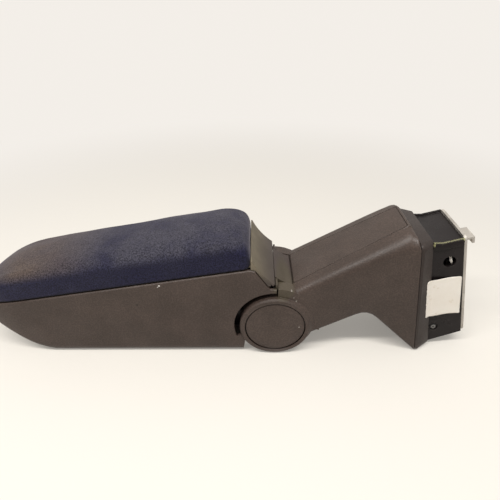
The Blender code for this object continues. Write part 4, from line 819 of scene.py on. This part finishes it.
# Torn left and lower rims, curled corners and small buckles
TORN_SCALE = 420.0
LEFT_TEAR, LEFT_FADE = 0.0005, 12.0
FOOT_TEAR, FOOT_FADE = 0.0003, 14.0
CORNER_CURL, CORNER_CURL_FROM = 0.05, 1.86
LEFT_CURL, LEFT_CURL_TO = 0.03, 0.10
BUCKLE_SCALE, BUCKLE_DEPTH = 150.0, 0.00012


def sticker_face(x, z):
    """Y of the sticker's middle at x and z: on the collar, over the step, on the bracket."""
    (top_x, top_z), (foot_x, foot_z) = COLLAR_REAR
    past = x - (top_x + (top_z - z) / (top_z - foot_z) * (foot_x - top_x))
    if past < 0.0:
        return -(COLLAR_FACE - COLLAR_TAPER * past) - STICKER_LIFT
    share = min(past / BRIDGE, 1.0)
    share = share * share * (3.0 - 2.0 * share)
    return -(COLLAR_FACE + (BRACKET_FACE - COLLAR_FACE) * share) - STICKER_LIFT


def rounded_square(u, v, size):
    """Moves a point of the square -1..1 so that its corners are rounded."""
    a = (abs(u) - 1.0 + size) / size
    b = (abs(v) - 1.0 + size) / size
    if a > 0.0 and b > 0.0:
        pull = max(a, b) / math.hypot(a, b)
        u = math.copysign(1.0 - size + a * pull * size, u)
        v = math.copysign(1.0 - size + b * pull * size, v)
    return u, v


def sticker_point(across, down):
    """The sticker's point at two shares, from the left and from the top."""
    u, v = rounded_square(2.0 * across - 1.0, 2.0 * down - 1.0, STICKER_ROUND)
    (ax, az), (bx, bz), (cx, cz), (dx, dz) = STICKER_CORNERS
    s, t = (u + 1.0) / 2.0, (v + 1.0) / 2.0
    x = (ax + (bx - ax) * s) * (1.0 - t) + (cx + (dx - cx) * s) * t
    z = (az + (bz - az) * s) * (1.0 - t) + (cz + (dz - cz) * s) * t
    ragged = noise.noise(Vector((0.0, 9.0, z * TORN_SCALE))) * LEFT_TEAR
    frayed = noise.noise(Vector((x * TORN_SCALE, 3.0, 0.0))) * FOOT_TEAR
    buckle = noise.noise(Vector((x * BUCKLE_SCALE, 1.0, z * BUCKLE_SCALE))) * BUCKLE_DEPTH
    corner = max(s + t - CORNER_CURL_FROM, 0.0) ** 2 * CORNER_CURL
    left = max(LEFT_CURL_TO - s, 0.0) ** 2 * LEFT_CURL
    return (
        x + ragged * max(1.0 - s * LEFT_FADE, 0.0),
        sticker_face(x, z) - corner - left - abs(buckle),
        z + frayed * max(1.0 - (1.0 - t) * FOOT_FADE, 0.0),
    )


def build_sticker():
    bm = bmesh.new()
    rows = [
        [bm.verts.new(sticker_point(j / STICKER_ACROSS, i / STICKER_DOWN))
         for j in range(STICKER_ACROSS + 1)]
        for i in range(STICKER_DOWN + 1)
    ]
    for high, low in zip(rows, rows[1:]):
        for j in range(STICKER_ACROSS):
            bm.faces.new((high[j], low[j], low[j + 1], high[j + 1]))
    bmesh.ops.recalc_face_normals(bm, faces=bm.faces)
    return object_from("sticker", bm)


sticker = build_sticker()
sheet = sticker.modifiers.new("sheet", "SOLIDIFY")
sheet.thickness = STICKER_THICKNESS
sheet.offset = 0.0
apply_modifiers(sticker)
dress(sticker, PAPER)
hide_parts("blank_label")
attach(sticker, "neck")


# Floor: matte for the light it gives back, lifted a little where the camera sees it, and
# faded with distance to the even tone that the world shows too, so that no horizon is seen
EVEN_TONE = (0.90, 0.86, 0.81, 1.0)
FLOOR_HALF = 30.0
FLOOR_GIVEN = (0.62, 0.59, 0.55, 1.0)
FLOOR_SEEN = (0.67, 0.64, 0.59, 1.0)
FLOOR_LIFT = {"Color": (1.0, 0.955, 0.88, 1.0), "Strength": 0.22}
FADE_FROM, FADE_TO = 0.30, 0.90


def pale_floor():
    made = bpy.data.materials.new("pale_floor")
    made.use_nodes = True
    tree = made.node_tree
    tree.nodes.clear()
    out = add_node(tree, "OutputMaterial")
    given = add_node(tree, "BsdfDiffuse", {"Color": FLOOR_GIVEN})
    seen = add_node(tree, "BsdfDiffuse", {"Color": FLOOR_SEEN})
    lift = add_node(tree, "Emission", FLOOR_LIFT)
    even = add_node(tree, "Emission", {"Color": EVEN_TONE})
    lifted = add_node(tree, "AddShader")
    shown = add_node(tree, "MixShader")
    chosen = add_node(tree, "MixShader")
    place = add_node(tree, "TexCoord")
    away = add_node(tree, "VectorMath", operation="LENGTH")
    paths = add_node(tree, "LightPath")
    tree.links.new(seen.outputs[0], lifted.inputs[0])
    tree.links.new(lift.outputs[0], lifted.inputs[1])
    tree.links.new(place.outputs["Object"], away.inputs[0])
    faded = add_range(tree, away.outputs["Value"], FADE_FROM, FADE_TO)
    tree.links.new(faded, shown.inputs[0])
    tree.links.new(lifted.outputs[0], shown.inputs[1])
    tree.links.new(even.outputs[0], shown.inputs[2])
    tree.links.new(paths.outputs["Is Camera Ray"], chosen.inputs[0])
    tree.links.new(given.outputs[0], chosen.inputs[1])
    tree.links.new(shown.outputs[0], chosen.inputs[2])
    tree.links.new(chosen.outputs[0], out.inputs["Surface"])
    return made


bm = bmesh.new()
bmesh.ops.create_grid(bm, x_segments=1, y_segments=1, size=FLOOR_HALF)
floor = object_from("floor", bm)
floor.data.materials.append(pale_floor())


# Camera at the photograph's angle: degrees, millimetres of lens, and its place from the pivot
TILT, SWING, ROLL = 32.463, -1.0122, -0.8902
LENS, SENSOR = 29.653, 36.0
EYE = Vector((-0.0187, -0.3521, 0.2896))

tilt, swing, roll = math.radians(TILT), math.radians(SWING), math.radians(ROLL)
ahead = Vector((
    math.sin(swing) * math.cos(tilt), math.cos(swing) * math.cos(tilt), -math.sin(tilt),
))
level = Vector((math.cos(swing), -math.sin(swing), 0.0))
rise = level.cross(ahead)
right = level * math.cos(roll) + rise * math.sin(roll)
up = rise * math.cos(roll) - level * math.sin(roll)
lens = bpy.data.cameras.new("camera")
lens.sensor_width = SENSOR
lens.lens = LENS
lens.clip_start = 0.01
camera = bpy.data.objects.new("camera", lens)
scene.collection.objects.link(camera)
turned = Matrix((right, up, -ahead)).transposed().to_4x4()
camera.matrix_world = Matrix.Translation(PIVOT + EYE) @ turned
scene.camera = camera


# Light: one long lamp overhead, a little in front
LAMP_PLACE = Vector((-0.15, -0.40, 1.05))
LAMP_AIM = Vector((-0.15, 0.0, 0.05))
LAMP_SIZE = (1.50, 0.08)
LAMP_WATTS = 12.6
LAMP_TONE = (1.0, 0.98, 0.95)

light = bpy.data.lights.new("tube_light", "AREA")
light.shape = "RECTANGLE"
light.size, light.size_y = LAMP_SIZE
light.energy = LAMP_WATTS
light.color = LAMP_TONE
lamp = bpy.data.objects.new("tube_light", light)
scene.collection.objects.link(lamp)
lamp.location = LAMP_PLACE
lamp.rotation_euler = (LAMP_AIM - LAMP_PLACE).to_track_quat("-Z", "Y").to_euler()

# World: a soft light, and the room that shines in the pieces, both brighter behind and to
# the right; the camera sees the even tone. A range says how far towards the bright side it
# starts and ends, and the strength there
SOFT_TONE = (1.0, 0.985, 0.96, 1.0)
BRIGHT_SIDE = (0.50, 0.85, 0.15)
SOFT_RANGE = (-0.80, 0.30, 0.36, 0.54)
SHINE_RANGE = (-0.80, 0.10, 0.35, 0.85)

world = bpy.data.worlds.new("world")
scene.world = world
world.use_nodes = True
tree = world.node_tree
tree.nodes.clear()


def larger(one, other):
    made = add_node(tree, "Math", operation="MAXIMUM")
    tree.links.new(one, made.inputs[0])
    tree.links.new(other, made.inputs[1])
    return made.outputs[0]


out = add_node(tree, "OutputWorld")
soft = add_node(tree, "Background", {"Color": SOFT_TONE})
room = add_node(tree, "Background", {"Color": EVEN_TONE})
where = add_node(tree, "TexCoord")
side = add_node(tree, "VectorMath", {1: BRIGHT_SIDE}, operation="DOT_PRODUCT")
paths = add_node(tree, "LightPath")
chosen = add_node(tree, "MixShader")
tree.links.new(where.outputs["Generated"], side.inputs[0])
tree.links.new(add_range(tree, side.outputs["Value"], *SOFT_RANGE), soft.inputs["Strength"])
shine = add_range(tree, side.outputs["Value"], *SHINE_RANGE)
tree.links.new(larger(paths.outputs["Is Camera Ray"], shine), room.inputs["Strength"])
mirrored = larger(paths.outputs["Is Glossy Ray"], paths.outputs["Is Transmission Ray"])
tree.links.new(larger(paths.outputs["Is Camera Ray"], mirrored), chosen.inputs[0])
tree.links.new(soft.outputs[0], chosen.inputs[1])
tree.links.new(room.outputs[0], chosen.inputs[2])
tree.links.new(chosen.outputs[0], out.inputs["Surface"])

scene.view_settings.view_transform = "Standard"
